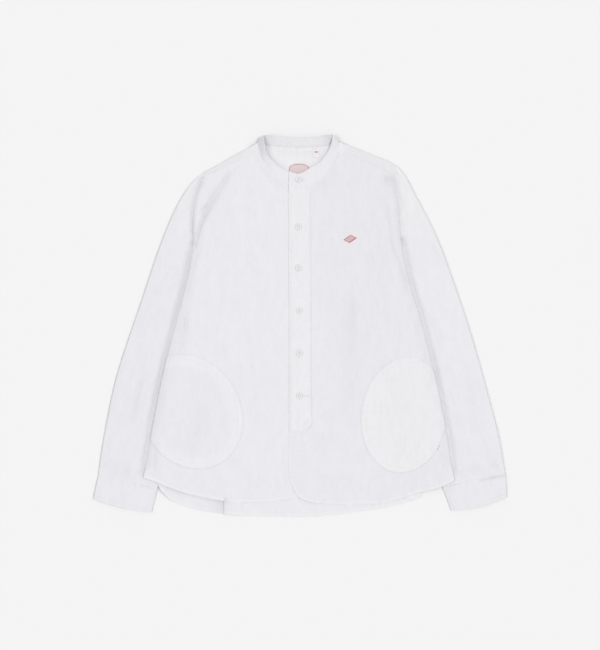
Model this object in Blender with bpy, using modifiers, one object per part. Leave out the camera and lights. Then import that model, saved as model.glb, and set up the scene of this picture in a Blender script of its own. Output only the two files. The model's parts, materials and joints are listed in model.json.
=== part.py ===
"""A band-collar linen shirt laid flat on its back.

The shirt lies in the XY plane with its collar towards +Y and its underside on z = 0. Left and
right are the wearer's, so the left front is on the +X side. Each cut piece is one closed wall
of cloth. The sleeves are pressed tubes that hang beside the body and run a little way under it.
"""

import math

import bmesh
import bpy
import numpy as np
from mathutils import Vector

# ------------------------------------------------------------------ cloth and layers (metres)

CLOTH = 0.0012            # wall of one layer of linen
DOUBLED = 0.0020          # collar band and cuffs, two layers sewn together
PATCH = 0.0011            # pockets and placket lying on the fronts
LABEL = 0.0010            # woven labels
SEAM_GAP = 0.0003         # between pieces that are sewn to each other
ARMHOLE_GAP = 0.0006      # between a sleeve and the body
NECK_GAP = 0.0008         # between the collar band and the neck edge

SLEEVE_LOW = 0.0038       # pressed sleeve under the body
SLEEVE_HIGH = 0.0062      # sleeve beside the body
SLEEVE_LOW_MARGIN = 0.002
SLEEVE_SWELL = 0.018      # distance over which a sleeve fills out beside the body
CUFF_HEIGHT = 0.0056

BODY_LIFT = 0.0045        # the body's back where a sleeve runs under it
LIFT_MARGIN = 0.012
BACK_RAMP = 0.024
FRONT_RAMP = 0.040

RISE_CENTRE = 0.0034      # top of the fronts above the back's inner side
RISE_SIDE = 0.0050
RISE_HEM = 0.0019
HEM_FALL = 0.045          # how far up from the hem the fronts settle onto the back
CURL = 0.0046             # round of the front's side edge, down to the back
CURL_CLEARANCE = 0.0006   # from the end of that round to the back's edge
ARMHOLE_HIGH = 0.0052     # height of the armhole seam at the shoulder
ARMHOLE_LOW = 0.0076      # and at the armpit, where the body lies on the sleeve
SEAM_BLEND = 0.018        # width of the valley along the armhole seam
SHOULDER_HEIGHT = 0.0060  # thickness of the shoulder fold at the armhole
NECK_HEIGHT = 0.0064      # and at the neck
SHOULDER_REACH = 0.070    # how far down the fronts the shoulder's thickness is felt

# ------------------------------------------------------------------ cut of the body (metres)

YOKE_SEAM_Y = 0.207       # seam between the yoke and the back
LAP_EDGE_X = 0.018        # hidden centre edge of the right front
LAP_FADE = 0.030

# Each outline is a short table of x, y. Curves run smoothly through the rows.
SHOULDER_FOLD = (
    (-0.167, 0.270), (-0.149, 0.280), (-0.126, 0.293), (-0.105, 0.305), (-0.088, 0.314),
    (-0.078, 0.323), (-0.040, 0.333), (0.000, 0.336), (0.036, 0.333), (0.071, 0.3245),
    (0.082, 0.318), (0.105, 0.309), (0.133, 0.2975), (0.158, 0.2875), (0.168, 0.281),
)
BACK_NECK = (
    (-0.078, 0.3230), (-0.073, 0.3205), (-0.063, 0.3170), (-0.035, 0.3125), (0.000, 0.311),
    (0.032, 0.3125), (0.057, 0.3175), (0.066, 0.3210), (0.071, 0.3245),
)
TAIL_LEFT_OF_VIEW = (
    (-0.274, -0.263), (-0.2475, -0.2745), (-0.2435, -0.289), (-0.2355, -0.2985),
    (-0.218, -0.3095), (-0.1925, -0.3190), (-0.170, -0.3245), (-0.149, -0.3275),
)
TAIL = (
    (-0.1330, -0.3295), (-0.122, -0.3310), (-0.080, -0.3335), (0.000, -0.3348), (0.052, -0.332),
    (0.088, -0.327), (0.140, -0.320), (0.175, -0.313), (0.213, -0.300),
)
TAIL_RIGHT_OF_VIEW = ((0.2165, -0.2865), (0.247, -0.279), (0.270, -0.267))

RIGHT = {
    "sign": -1,
    "neck": (
        (LAP_EDGE_X, 0.2425), (0.000, 0.241), (-0.021, 0.245), (-0.040, 0.258),
        (-0.057, 0.277), (-0.069, 0.293), (-0.0745, 0.304),
    ),
    "shoulder_seam": ((-0.0745, 0.304), (-0.122, 0.282), (-0.1706, 0.2605)),
    "armhole": (
        (-0.167, 0.270), (-0.172, 0.257), (-0.180, 0.236), (-0.186, 0.212),
        (-0.1885, 0.186), (-0.187, 0.145),
    ),
    "underarm": ((-0.187, 0.145), (-0.180, 0.115), (-0.166, 0.080)),
    "side": (
        (-0.187, 0.145), (-0.200, 0.080), (-0.218, 0.010), (-0.236, -0.060),
        (-0.251, -0.130), (-0.264, -0.200), (-0.274, -0.266),
    ),
    "hem": (
        (LAP_EDGE_X, -0.302), (-0.005, -0.300), (-0.035, -0.306), (-0.070, -0.309),
        (-0.105, -0.309), (-0.133, -0.307), (-0.166, -0.301), (-0.219, -0.287),
        (-0.245, -0.276), (-0.262, -0.268), (-0.274, -0.266),
    ),
    "centre": ((LAP_EDGE_X, 0.2425), (LAP_EDGE_X, -0.302)),
    "sleeve_outer": (
        (-0.167, 0.270), (-0.177, 0.264), (-0.198, 0.241), (-0.217, 0.208), (-0.249, 0.130),
        (-0.277, 0.046), (-0.301, -0.024), (-0.323, -0.094), (-0.338, -0.164),
        (-0.350, -0.234), (-0.354, -0.264),
    ),
    "sleeve_inner": (
        (-0.166, 0.080), (-0.164, 0.028), (-0.170, -0.024), (-0.187, -0.089),
        (-0.200, -0.138), (-0.214, -0.189), (-0.234, -0.248), (-0.250, -0.285),
    ),
    "cuff_seam": ((-0.354, -0.264), (-0.306, -0.2735), (-0.250, -0.285)),
    "cuff_edge": ((-0.3625, -0.303), (-0.315, -0.3175), (-0.261, -0.327)),
    "pocket": {"centre": (-0.192, -0.150), "radii": (0.088, 0.106), "turn": 31.0},
}
LEFT = {
    "sign": 1,
    "neck": (
        (-0.020, 0.2445), (0.000, 0.241), (0.021, 0.245), (0.040, 0.257),
        (0.056, 0.277), (0.066, 0.294), (0.0705, 0.306),
    ),
    "shoulder_seam": ((0.0705, 0.306), (0.121, 0.284), (0.167, 0.2635)),
    "armhole": (
        (0.168, 0.281), (0.167, 0.264), (0.169, 0.241), (0.1725, 0.213),
        (0.174, 0.186), (0.177, 0.150),
    ),
    "underarm": ((0.177, 0.150), (0.173, 0.118), (0.163, 0.084)),
    "side": (
        (0.177, 0.150), (0.192, 0.080), (0.213, 0.010), (0.231, -0.060),
        (0.247, -0.130), (0.260, -0.200), (0.270, -0.270),
    ),
    "hem": (
        (-0.005, -0.3005), (0.014, -0.308), (0.052, -0.312), (0.105, -0.3125), (0.149, -0.310),
        (0.175, -0.303), (0.217, -0.2895), (0.247, -0.282), (0.270, -0.270),
    ),
    "centre": (
        (-0.020, 0.2445), (-0.020, 0.133), (-0.019, -0.007), (-0.019, -0.130), (-0.0195, -0.226),
        (-0.021, -0.252), (-0.018, -0.270), (-0.011, -0.287), (-0.005, -0.3005),
    ),
    "sleeve_outer": (
        (0.168, 0.281), (0.177, 0.274), (0.188, 0.259), (0.197, 0.238), (0.211, 0.213),
        (0.242, 0.150), (0.268, 0.080), (0.292, 0.010), (0.313, -0.060), (0.332, -0.130),
        (0.350, -0.200), (0.360, -0.261),
    ),
    "sleeve_inner": (
        (0.163, 0.084), (0.164, 0.028), (0.171, -0.024), (0.186, -0.089),
        (0.200, -0.138), (0.214, -0.189), (0.234, -0.245), (0.250, -0.282),
    ),
    "cuff_seam": ((0.360, -0.261), (0.305, -0.272), (0.250, -0.282)),
    "cuff_edge": ((0.3625, -0.299), (0.315, -0.3165), (0.266, -0.324)),
    "pocket": {"centre": (0.182, -0.156), "radii": (0.076, 0.103), "turn": -8.0},
}

# The largest folds: x, y where each starts, its middle and its end, half width, height.
FRONT_FOLDS = (
    (-0.114, 0.280, -0.150, 0.224, -0.182, 0.160, 0.012, -0.0020),
    (-0.097, 0.262, -0.131, 0.216, -0.160, 0.160, 0.016, 0.0008),
    (0.152, 0.205, 0.163, 0.180, 0.170, 0.163, 0.007, -0.0012),
    (0.157, 0.161, 0.166, 0.140, 0.176, 0.117, 0.007, -0.0012),
    (0.088, 0.098, 0.084, -0.050, 0.090, -0.200, 0.020, -0.0009),
    (0.048, 0.060, 0.044, -0.060, 0.052, -0.180, 0.022, 0.0007),
    (-0.204, 0.014, -0.208, -0.018, -0.211, -0.050, 0.009, -0.0011),
    (-0.084, 0.120, -0.090, -0.040, -0.080, -0.210, 0.024, 0.0008),
)
SLEEVE_FOLDS = (
    (-0.266, -0.066, -0.287, -0.120, -0.299, -0.192, 0.008, -0.0012),
    (-0.300, -0.205, -0.312, -0.235, -0.321, -0.262, 0.006, -0.0008),
    (0.292, -0.062, 0.301, -0.128, 0.306, -0.196, 0.010, -0.0009),
    (0.322, -0.205, 0.331, -0.232, 0.338, -0.256, 0.007, -0.0008),
)

# ------------------------------------------------------------------ collar band

# A row for each section round the neck, from the lapping end to the end underneath:
# x, y, z of the lower edge at the neck seam, then x, y, z of the upper edge.
BAND_SECTIONS = (
    (-0.0200, 0.2445, 0.0062, -0.0190, 0.2710, 0.0072),
    (0.0000, 0.2410, 0.0061, -0.0020, 0.2660, 0.0074),
    (0.0210, 0.2450, 0.0058, 0.0160, 0.2755, 0.0080),
    (0.0400, 0.2570, 0.0060, 0.0350, 0.2860, 0.0095),
    (0.0560, 0.2770, 0.0064, 0.0460, 0.3000, 0.0125),
    (0.0650, 0.2945, 0.0066, 0.0535, 0.3145, 0.0160),
    (0.0680, 0.3090, 0.0066, 0.0565, 0.3260, 0.0185),
    (0.0680, 0.3215, 0.0052, 0.0570, 0.3340, 0.0190),
    (0.0540, 0.3165, 0.0032, 0.0440, 0.3330, 0.0160),
    (0.0300, 0.3120, 0.0023, 0.0270, 0.3300, 0.0140),
    (0.0000, 0.3105, 0.0022, 0.0000, 0.3285, 0.0135),
    (-0.0330, 0.3120, 0.0023, -0.0290, 0.3298, 0.0142),
    (-0.0600, 0.3158, 0.0032, -0.0480, 0.3320, 0.0162),
    (-0.0745, 0.3200, 0.0052, -0.0640, 0.3322, 0.0190),
    (-0.0725, 0.3085, 0.0066, -0.0625, 0.3210, 0.0186),
    (-0.0685, 0.2935, 0.0066, -0.0590, 0.3025, 0.0160),
    (-0.0570, 0.2770, 0.0064, -0.0465, 0.2880, 0.0120),
    (-0.0400, 0.2580, 0.0056, -0.0335, 0.2770, 0.0085),
    (-0.0210, 0.2450, 0.0040, -0.0190, 0.2700, 0.0046),
    (0.0000, 0.2410, 0.0038, -0.0005, 0.2655, 0.0041),
    (0.0180, 0.2440, 0.0038, 0.0150, 0.2700, 0.0041),
)

# ------------------------------------------------------------------ small pieces

PLACKET = {"edge": -0.024, "right_top": 0.0185, "right": 0.0205, "top": 0.252,
           "cut_corner": (0.009, -0.173), "bottom": -0.1855}
BUTTON = {"radius": 0.0054, "height": 0.0025, "rim": 0.0012, "dish": 0.0007}
BUTTON_PLACES = (
    (-0.0020, 0.2560), (-0.0030, 0.1740), (-0.0030, 0.1020),
    (-0.0010, 0.0270), (-0.0010, -0.0470), (-0.0010, -0.1220),
)
CHEST_LABEL = {"centre": (0.088, 0.154), "size": (0.022, 0.012), "turn": 9.0}
NECK_LABEL = {"centre": (-0.004, 0.2725), "size": (0.036, 0.023), "turn": 0.0}
SIZE_TAB = {"centre": (0.029, 0.3010), "size": (0.011, 0.014), "turn": -4.0}

# ------------------------------------------------------------------ fineness of the meshes

ARMHOLE_ROWS = 8
SIDE_ROWS = 21
BACK_ROWS = 18
NECK_COLUMNS = 9
SHOULDER_COLUMNS = 6
CURL_COLUMNS = 3
YOKE_ROWS = 5
FOLD_ROWS = 3
NECK_SPACING = (0.025, 0.065, 0.12, 0.20, 0.30, 0.42, 0.54, 0.66, 0.77, 0.86, 0.93, 0.973)
SLEEVE_STATIONS = 22
SLEEVE_HEAD_STATIONS = 8
SLEEVE_COLUMNS = 9
FOLD_BLUNT = 0.12
CUFF_STATIONS = 2
BAND_STATIONS = 52
BAND_ROWS = 3

# ------------------------------------------------------------------ materials

LINEN = ("linen", (0.83, 0.84, 0.85), 0.85)
DOUBLED_LINEN = ("linen_doubled", (0.84, 0.85, 0.86), 0.82)
HORN = ("button", (0.74, 0.73, 0.72), 0.38)
WOVEN_RED = ("label_red", (0.62, 0.07, 0.10), 0.75)
WOVEN_WHITE = ("label_white", (0.80, 0.80, 0.80), 0.75)


def material_for(recipe):
    name, colour, roughness = recipe
    material = bpy.data.materials.get(name)
    if material is None:
        material = bpy.data.materials.new(name)
        material.use_nodes = True
        shader = material.node_tree.nodes["Principled BSDF"]
        shader.inputs["Base Color"].default_value = (*colour, 1.0)
        shader.inputs["Roughness"].default_value = roughness
        shader.inputs["Metallic"].default_value = 0.0
    return material


# ------------------------------------------------------------------ curves and fields

def smooth_step(value):
    """0 below 0, 1 above 1, and an even rise between."""
    clipped = np.clip(value, 0.0, 1.0)
    return clipped * clipped * (3.0 - 2.0 * clipped)


def line_through(rows, fractions):
    """Points at the given fractions of the length of a smooth line through the rows."""
    knots = np.array(rows, dtype=float)
    steps = np.linalg.norm(np.diff(knots, axis=0), axis=1)
    reach = np.concatenate(([0.0], np.cumsum(steps)))
    if len(knots) > 2:
        slopes = np.gradient(knots, reach, axis=0)
    else:
        slopes = np.repeat(np.diff(knots, axis=0) / steps[0], 2, axis=0)
    distance = np.asarray(fractions, dtype=float) * reach[-1]
    index = np.clip(np.searchsorted(reach, distance, side="right") - 1, 0, len(steps) - 1)
    step = steps[index][:, None]
    t = ((distance - reach[index]) / steps[index])[:, None]
    start = knots[index] * (1 + 2 * t) * (1 - t) ** 2
    end = knots[index + 1] * (3 - 2 * t) * t ** 2
    bend = slopes[index] * t * (1 - t) ** 2 - slopes[index + 1] * t ** 2 * (1 - t)
    return start + end + bend * step


def evenly(rows, steps):
    return line_through(rows, np.linspace(0.0, 1.0, steps + 1))


def height_on(rows, x):
    """y of a left-to-right outline at x."""
    points = evenly(rows, 120)
    return np.interp(x, points[:, 0], points[:, 1])


def distance_to_line(x, y, line):
    """Distance from each point to a polyline, and how far along it the nearest place is."""
    best = np.full(np.shape(x), np.inf)
    along = np.zeros(np.shape(x))
    for i in range(len(line) - 1):
        ax, ay = line[i]
        bx, by = line[i + 1]
        dx, dy = bx - ax, by - ay
        t = np.clip(((x - ax) * dx + (y - ay) * dy) / (dx * dx + dy * dy), 0.0, 1.0)
        gap = np.hypot(x - ax - t * dx, y - ay - t * dy)
        nearer = gap < best
        best = np.where(nearer, gap, best)
        along = np.where(nearer, (i + t) / (len(line) - 1), along)
    return best, along


def distance_to_area(x, y, corners):
    """Distance from each point to a closed area, 0 inside it."""
    loop = np.vstack((corners, corners[:1]))
    inside = np.zeros(np.shape(x), dtype=bool)
    for (ax, ay), (bx, by) in zip(loop[:-1], loop[1:]):
        crosses = (ay > y) != (by > y)
        rise = by - ay if by != ay else 1e-12
        inside ^= crosses & (x < ax + (y - ay) / rise * (bx - ax))
    gap, _ = distance_to_line(x, y, loop)
    return np.where(inside, 0.0, gap)


def fold_relief(x, y, folds):
    """Height of all soft folds at each point."""
    total = np.zeros(np.shape(x))
    for x0, y0, x1, y1, x2, y2, half_width, height in folds:
        gap, along = distance_to_line(x, y, evenly(((x0, y0), (x1, y1), (x2, y2)), 8))
        across = 1.0 - smooth_step(gap / (2.0 * half_width))
        total += height * across * np.sin(math.pi * np.clip(along, 0.0, 1.0)) ** 0.7
    return total


def covered_sleeve(cut):
    """Outline of the stretch of sleeve that the body lies on."""
    side = evenly(cut["side"], 16)[::-1]
    outside = side + np.array([cut["sign"] * 0.004, 0.0])
    return np.vstack((evenly(cut["underarm"], 8), evenly(cut["sleeve_inner"], 16)[1:], outside))


COVERED = {cut["sign"]: covered_sleeve(cut) for cut in (LEFT, RIGHT)}


def lift_over_sleeves(x, y, ramp):
    lift = np.zeros(np.shape(x))
    for area in COVERED.values():
        gap = distance_to_area(x, y, area)
        lift = np.maximum(lift, BODY_LIFT * (1.0 - smooth_step((gap - LIFT_MARGIN) / ramp)))
    return lift


def shoulder_height(x):
    """Thickness of the shoulder fold, thicker towards the neck."""
    outward = smooth_step((np.abs(x) - 0.075) / 0.090)
    return NECK_HEIGHT + (SHOULDER_HEIGHT - NECK_HEIGHT) * outward


def armhole_level(y):
    """Height of the armhole seam, rising where the body starts to lie on the sleeve."""
    low_part = 1.0 - smooth_step((y - 0.150) / 0.045)
    return ARMHOLE_HIGH + (ARMHOLE_LOW - ARMHOLE_HIGH) * low_part


def front_top(x, y, cut):
    """Height of a front's outer face, before its side edge curls down."""
    half_width = np.interp(y, (-0.27, 0.15), (0.270, 0.182))
    outward = smooth_step(np.abs(x) / half_width)
    rise = RISE_CENTRE + (RISE_SIDE - RISE_CENTRE) * outward
    hem_gap, _ = distance_to_line(x, y, evenly(cut["hem"], 16))
    settled = 1.0 - smooth_step(hem_gap / HEM_FALL)
    rise = rise + (RISE_HEM - rise) * settled
    height = lift_over_sleeves(x, y, FRONT_RAMP) + CLOTH + rise + fold_relief(x, y, FRONT_FOLDS)
    gap, _ = distance_to_line(x, y, np.array(cut["shoulder_seam"]))
    near_shoulder = 1.0 - smooth_step(gap / SHOULDER_REACH)
    height = height + (shoulder_height(x) - height) * near_shoulder
    armhole_gap, _ = distance_to_line(x, y, evenly(cut["armhole"], 12))
    valley = (1.0 - smooth_step(armhole_gap / SEAM_BLEND)) * (1.0 - near_shoulder ** 4)
    height = height + (armhole_level(y) - height) * valley
    if cut["sign"] > 0:
        lap = 1.0 - smooth_step((x - LAP_EDGE_X - 0.004) / LAP_FADE)
        height = height + (CLOTH + SEAM_GAP) * lap * (1.0 - near_shoulder)
    return height


def sleeve_top(x, y, cut):
    gap = distance_to_area(x, y, COVERED[cut["sign"]])
    swell = smooth_step((gap - SLEEVE_LOW_MARGIN) / SLEEVE_SWELL)
    height = SLEEVE_LOW + (SLEEVE_HIGH - SLEEVE_LOW) * swell
    armhole_gap, _ = distance_to_line(x, y, evenly(cut["armhole"], 12))
    valley = (1.0 - smooth_step(armhole_gap / SEAM_BLEND)) * swell
    height = height + (np.minimum(armhole_level(y), SLEEVE_HIGH) - height) * valley
    end_gap, _ = distance_to_line(x, y, np.array(cut["cuff_seam"]))
    excess = np.maximum(height - CUFF_HEIGHT + 0.0006, 0.0)
    height = height - excess * (1.0 - smooth_step(end_gap / 0.030))
    return height + fold_relief(x, y, SLEEVE_FOLDS) * swell


# ------------------------------------------------------------------ grids and their objects

def fill_between(left, right, top, bottom, rows, columns):
    """Plan points of a panel between its four edges, in rows from top to bottom."""
    u = np.asarray(columns)[None, :, None]
    v = np.asarray(rows)[:, None, None]
    across = left[:, None] * (1 - u) + right[:, None] * u
    down = top[None] * (1 - v) + bottom[None] * v
    corners = (top[0] * (1 - u) + top[-1] * u) * (1 - v) + (bottom[0] * (1 - u) + bottom[-1] * u) * v
    return across + down - corners


def length_fractions(line):
    reach = np.concatenate(([0.0], np.cumsum(np.linalg.norm(np.diff(line, axis=0), axis=1))))
    return reach / reach[-1]


def grid_normals(grid):
    down = np.gradient(grid, axis=0)
    across = np.gradient(grid, axis=1)
    normal = np.cross(down, across)
    return normal / np.linalg.norm(normal, axis=2, keepdims=True)


def raised(grid, gap):
    """The same points moved out along the surface's normals, upwards."""
    normals = grid_normals(grid)
    upward = 1.0 if normals[..., 2].mean() > 0 else -1.0
    return grid + normals * upward * gap


def mesh_of_grid(name, grid, round_column=None, open_rows=0):
    """Triangles over rows and columns of points. A place with no point is left open.

    With a round column the rows are rings, open at that column over the first rows.
    """
    rows, columns = grid.shape[:2]
    mesh = bmesh.new()
    points = {}
    for i in range(rows):
        for j in range(columns):
            if not np.isnan(grid[i, j, 0]):
                points[i, j] = mesh.verts.new(grid[i, j])
    last = columns - 1 if round_column is None else columns
    for i in range(rows - 1):
        for j in range(last):
            k = (j + 1) % columns
            corners = [points.get(key) for key in ((i, j), (i + 1, j), (i + 1, k), (i, k))]
            cut_open = j == round_column and i < open_rows
            if None not in corners and not cut_open:
                a, b, c, d = corners
                mesh.faces.new((a, b, c))
                mesh.faces.new((a, c, d))
    for face in mesh.faces:
        face.smooth = True
    data = bpy.data.meshes.new(name)
    mesh.to_mesh(data)
    mesh.free()
    return data


def add_object(name, data, recipe):
    data.materials.append(material_for(recipe))
    thing = bpy.data.objects.new(name, data)
    bpy.data.collections["band_collar_shirt"].objects.link(thing)
    return thing


def thicken(thing, thickness, offset):
    wall = thing.modifiers.new("wall", "SOLIDIFY")
    wall.thickness = thickness
    wall.offset = offset


def make_sheet(name, grid, thickness, recipe, grow_up):
    """An open sheet of cloth. Its points are its upper face, or its lower face if it grows up."""
    thing = add_object(name, mesh_of_grid(name, grid), recipe)
    if thing.data.polygons[len(thing.data.polygons) // 2].normal.z < 0:
        thing.data.flip_normals()
    thicken(thing, thickness, 1.0 if grow_up else -1.0)
    return thing


def prism_cutter(name, outline):
    """A tall upright prism on an outline, used to cut a patch out of a raised sheet."""
    mesh = bmesh.new()
    base = [mesh.verts.new((x, y, -0.01)) for x, y in outline]
    face = mesh.faces.new(base)
    face.normal_update()
    if face.normal.z > 0:
        face.normal_flip()
    grown = bmesh.ops.extrude_face_region(mesh, geom=[face])
    tops = [item for item in grown["geom"] if isinstance(item, bmesh.types.BMVert)]
    bmesh.ops.translate(mesh, verts=tops, vec=(0.0, 0.0, 0.06))
    bmesh.ops.recalc_face_normals(mesh, faces=mesh.faces)
    data = bpy.data.meshes.new(name)
    mesh.to_mesh(data)
    mesh.free()
    cutter = bpy.data.objects.new(name, data)
    cutter.hide_render = True
    cutter.display_type = "WIRE"
    bpy.data.collections["cutters"].objects.link(cutter)
    return cutter


def keep_inside(thing, cutter):
    cut = thing.modifiers.new("outline", "BOOLEAN")
    cut.operation = "INTERSECT"
    cut.solver = "EXACT"
    cut.object = cutter


def patch_on(name, grid, outline, thickness, recipe):
    """A patch that lies on a panel: the panel's own points moved out, cut to an outline."""
    thing = make_sheet(name, raised(grid, SEAM_GAP), thickness, recipe, grow_up=True)
    keep_inside(thing, prism_cutter(name + "_outline", outline))
    return thing


def rectangle(centre, size, turn):
    angle = math.radians(turn)
    corners = []
    for sx, sy in ((-1, -1), (1, -1), (1, 1), (-1, 1)):
        dx, dy = sx * size[0] / 2, sy * size[1] / 2
        corners.append((centre[0] + dx * math.cos(angle) - dy * math.sin(angle),
                        centre[1] + dx * math.sin(angle) + dy * math.cos(angle)))
    return corners


def ellipse(centre, radii, turn, steps=44):
    angle = math.radians(turn)
    points = []
    for k in range(steps):
        t = 2 * math.pi * k / steps
        dx, dy = radii[0] * math.cos(t), radii[1] * math.sin(t)
        points.append((centre[0] + dx * math.cos(angle) - dy * math.sin(angle),
                       centre[1] + dx * math.sin(angle) + dy * math.cos(angle)))
    return points


# ------------------------------------------------------------------ body panels

def armhole_from(cut, y_start):
    """The body's armhole edge from a height down to the armpit."""
    line = evenly(cut["armhole"], 80)
    x_start = np.interp(y_start, line[::-1, 1], line[::-1, 0])
    return np.vstack(([[x_start, y_start]], line[line[:, 1] < y_start - 0.001]))


def side_line(cut):
    return evenly(cut["side"], SIDE_ROWS)


def inward(line, sign):
    """Unit normals of a side edge that point to the middle of the shirt."""
    along = np.gradient(line, axis=0)
    normal = np.stack((along[:, 1], -along[:, 0]), axis=1)
    normal /= np.linalg.norm(normal, axis=1, keepdims=True)
    flip = np.where(normal[:, 0] * sign > 0, -1.0, 1.0)[:, None]
    return normal * flip


def front_grid(cut):
    """Outer face of one front, from its centre edge to its curled side edge."""
    armhole = evenly(armhole_from(cut, cut["shoulder_seam"][-1][1]), ARMHOLE_ROWS)
    outer = np.vstack((armhole, side_line(cut)[1:]))
    inset = outer + inward(outer, cut["sign"]) * CURL
    rows = length_fractions(outer)
    seam_part = 1.0 - CURL / 0.10
    hem_part = 1.0 - CURL / 0.29
    shoulder = line_through(cut["shoulder_seam"], np.linspace(0, seam_part, SHOULDER_COLUMNS + 1))
    top = np.vstack((evenly(cut["neck"], NECK_COLUMNS), shoulder[1:]))
    columns = np.linspace(0.0, 1.0, len(top))
    bottom = line_through(cut["hem"], columns * hem_part)
    inset[0] = top[-1]
    inset[-1] = bottom[-1]
    centre = line_through(cut["centre"], rows)
    plan = fill_between(centre, inset, top, bottom, rows, columns)
    height = front_top(plan[..., 0], plan[..., 1], cut)
    grid = np.concatenate((plan, height[..., None]), axis=2)

    floor = lift_over_sleeves(outer[:, 0], outer[:, 1], BACK_RAMP) + CLOTH + CURL_CLEARANCE
    above = grid[:, -1, 2] - floor
    full_drop = above * np.clip((above - CLOTH) / (CURL - CLOTH), 0.0, 1.0)
    armpit = cut["side"][0][1]
    at_side = smooth_step((armpit + 0.008 - outer[:, 1]) / 0.014)
    drop = full_drop * at_side
    curl = []
    for k in range(1, CURL_COLUMNS + 1):
        angle = math.pi / 2 * k / CURL_COLUMNS
        spot = inset + (outer - inset) * math.sin(angle)
        level = grid[:, -1, 2] - drop * (1.0 - math.cos(angle))
        curl.append(np.concatenate((spot, level[:, None]), axis=1)[:, None])
    return np.concatenate([grid] + curl, axis=1)


def back_grid():
    """Underside of the back, from the yoke seam to the tail."""
    edges = []
    for cut in (RIGHT, LEFT):
        armhole = evenly(armhole_from(cut, YOKE_SEAM_Y - SEAM_GAP), 4)
        edges.append(np.vstack((armhole, evenly(cut["side"], BACK_ROWS)[1:])))
    right, left = edges
    bottom = np.vstack((evenly(TAIL_LEFT_OF_VIEW, 7), evenly(TAIL, 12), evenly(TAIL_RIGHT_OF_VIEW, 3)))
    right[-1] = bottom[0]
    left[-1] = bottom[-1]
    columns = (bottom[:, 0] - bottom[0, 0]) / (bottom[-1, 0] - bottom[0, 0])
    top = np.stack((right[0, 0] + columns * (left[0, 0] - right[0, 0]),
                    np.full(len(columns), YOKE_SEAM_Y - SEAM_GAP)), axis=1)
    rows = (length_fractions(right) + length_fractions(left)) / 2
    plan = fill_between(right, left, top, bottom, rows, columns)
    height = lift_over_sleeves(plan[..., 0], plan[..., 1], BACK_RAMP)
    return np.concatenate((plan, height[..., None]), axis=2)


def crest_at(x):
    """Line of the shoulder fold and the radius of its round at x."""
    return height_on(SHOULDER_FOLD, x), float(shoulder_height(x)) / 2


def yoke_shoulder_column(cut, share):
    """One line over a shoulder, from the back seam to the front seam. share runs inwards."""
    outer_x, neck_x = cut["armhole"][0][0], BACK_NECK[0 if cut["sign"] < 0 else -1][0]
    x_top = outer_x + share * (neck_x - outer_x)
    crest, radius = crest_at(x_top)
    seam_x, seam_y = line_through(cut["shoulder_seam"], [1.0 - share])[0]
    edge = evenly(cut["armhole"], 60)[::-1]
    points = []
    for y in np.linspace(YOKE_SEAM_Y, crest - radius, YOKE_ROWS + 1):
        lean = (np.interp(y, edge[:, 1], edge[:, 0]) - outer_x) * (1.0 - share)
        points.append((x_top + lean, y, 0.0))
    for angle in np.linspace(0.0, math.pi, 2 * FOLD_ROWS + 1)[1:]:
        y = crest - radius + radius * math.sin(angle)
        points.append((x_top, y, radius - radius * math.cos(angle)))
    for part in (0.5, 1.0):
        y = crest - radius + part * (seam_y + SEAM_GAP - crest + radius)
        points.append((x_top + part * (seam_x - x_top), y, 2 * radius))
    return points


def yoke_neck_column(x):
    """One line of the yoke inside the neck, from the back seam to the neck edge."""
    crest, radius = crest_at(x)
    neck_y = height_on(BACK_NECK, x)
    past = float(np.clip((neck_y - crest + radius) / radius, 0.0, 1.0))
    level_end = min(neck_y, crest - radius)
    if past > 0.0:
        flat = np.linspace(YOKE_SEAM_Y, level_end, YOKE_ROWS + 1)
        angles = np.linspace(0.0, math.asin(past), FOLD_ROWS + 1)[1:]
    else:
        flat = np.concatenate((np.linspace(YOKE_SEAM_Y, neck_y - 0.008, YOKE_ROWS + 1),
                               np.linspace(neck_y - 0.008, neck_y, FOLD_ROWS + 1)[1:]))
        angles = []
    points = [(x, y, 0.0) for y in flat]
    for angle in angles:
        points.append((x, level_end + radius * math.sin(angle), radius - radius * math.cos(angle)))
    missing = (math.nan, math.nan, math.nan)
    return points + [missing] * (FOLD_ROWS + 2)


def yoke_grid():
    """Outer face of the yoke: along the ground, over the shoulder folds, down to the fronts."""
    shares = np.linspace(0.0, 1.0, SHOULDER_COLUMNS + 1)
    neck_right, neck_left = BACK_NECK[0][0], BACK_NECK[-1][0]
    columns = [yoke_shoulder_column(RIGHT, share) for share in shares]
    for part in NECK_SPACING:
        columns.append(yoke_neck_column(neck_right + part * (neck_left - neck_right)))
    columns += [yoke_shoulder_column(LEFT, share) for share in shares[::-1]]
    return np.array(columns).transpose(1, 0, 2)


def make_body():
    make_sheet("back", back_grid(), CLOTH, LINEN, grow_up=True)
    yoke = add_object("yoke", mesh_of_grid("yoke", yoke_grid()), LINEN)
    if yoke.data.polygons[0].normal.z > 0:
        yoke.data.flip_normals()
    thicken(yoke, CLOTH, -1.0)
    grids = {}
    for name, cut in (("front_right", RIGHT), ("front_left", LEFT)):
        grids[name] = front_grid(cut)
        make_sheet(name, grids[name], CLOTH, LINEN, grow_up=False)
    return grids


def make_pockets(grids):
    for name, cut in (("right", RIGHT), ("left", LEFT)):
        shape = cut["pocket"]
        grid = grids["front_" + name][:, :-2]
        patch_on("pocket_" + name, grid, ellipse(shape["centre"], shape["radii"], shape["turn"]),
                 PATCH, LINEN)


def make_placket(grids):
    """A strip on the left front, flush with its centre edge, one lower corner cut off."""
    corner_x, corner_y = PLACKET["cut_corner"]
    outline = [(PLACKET["edge"], PLACKET["bottom"]), (corner_x, PLACKET["bottom"]),
               (PLACKET["right"], corner_y), (PLACKET["right_top"], PLACKET["top"]),
               (PLACKET["edge"], PLACKET["top"])]
    return patch_on("placket", grids["front_left"][:, :6], outline, PATCH, DOUBLED_LINEN)


# ------------------------------------------------------------------ collar band

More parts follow.
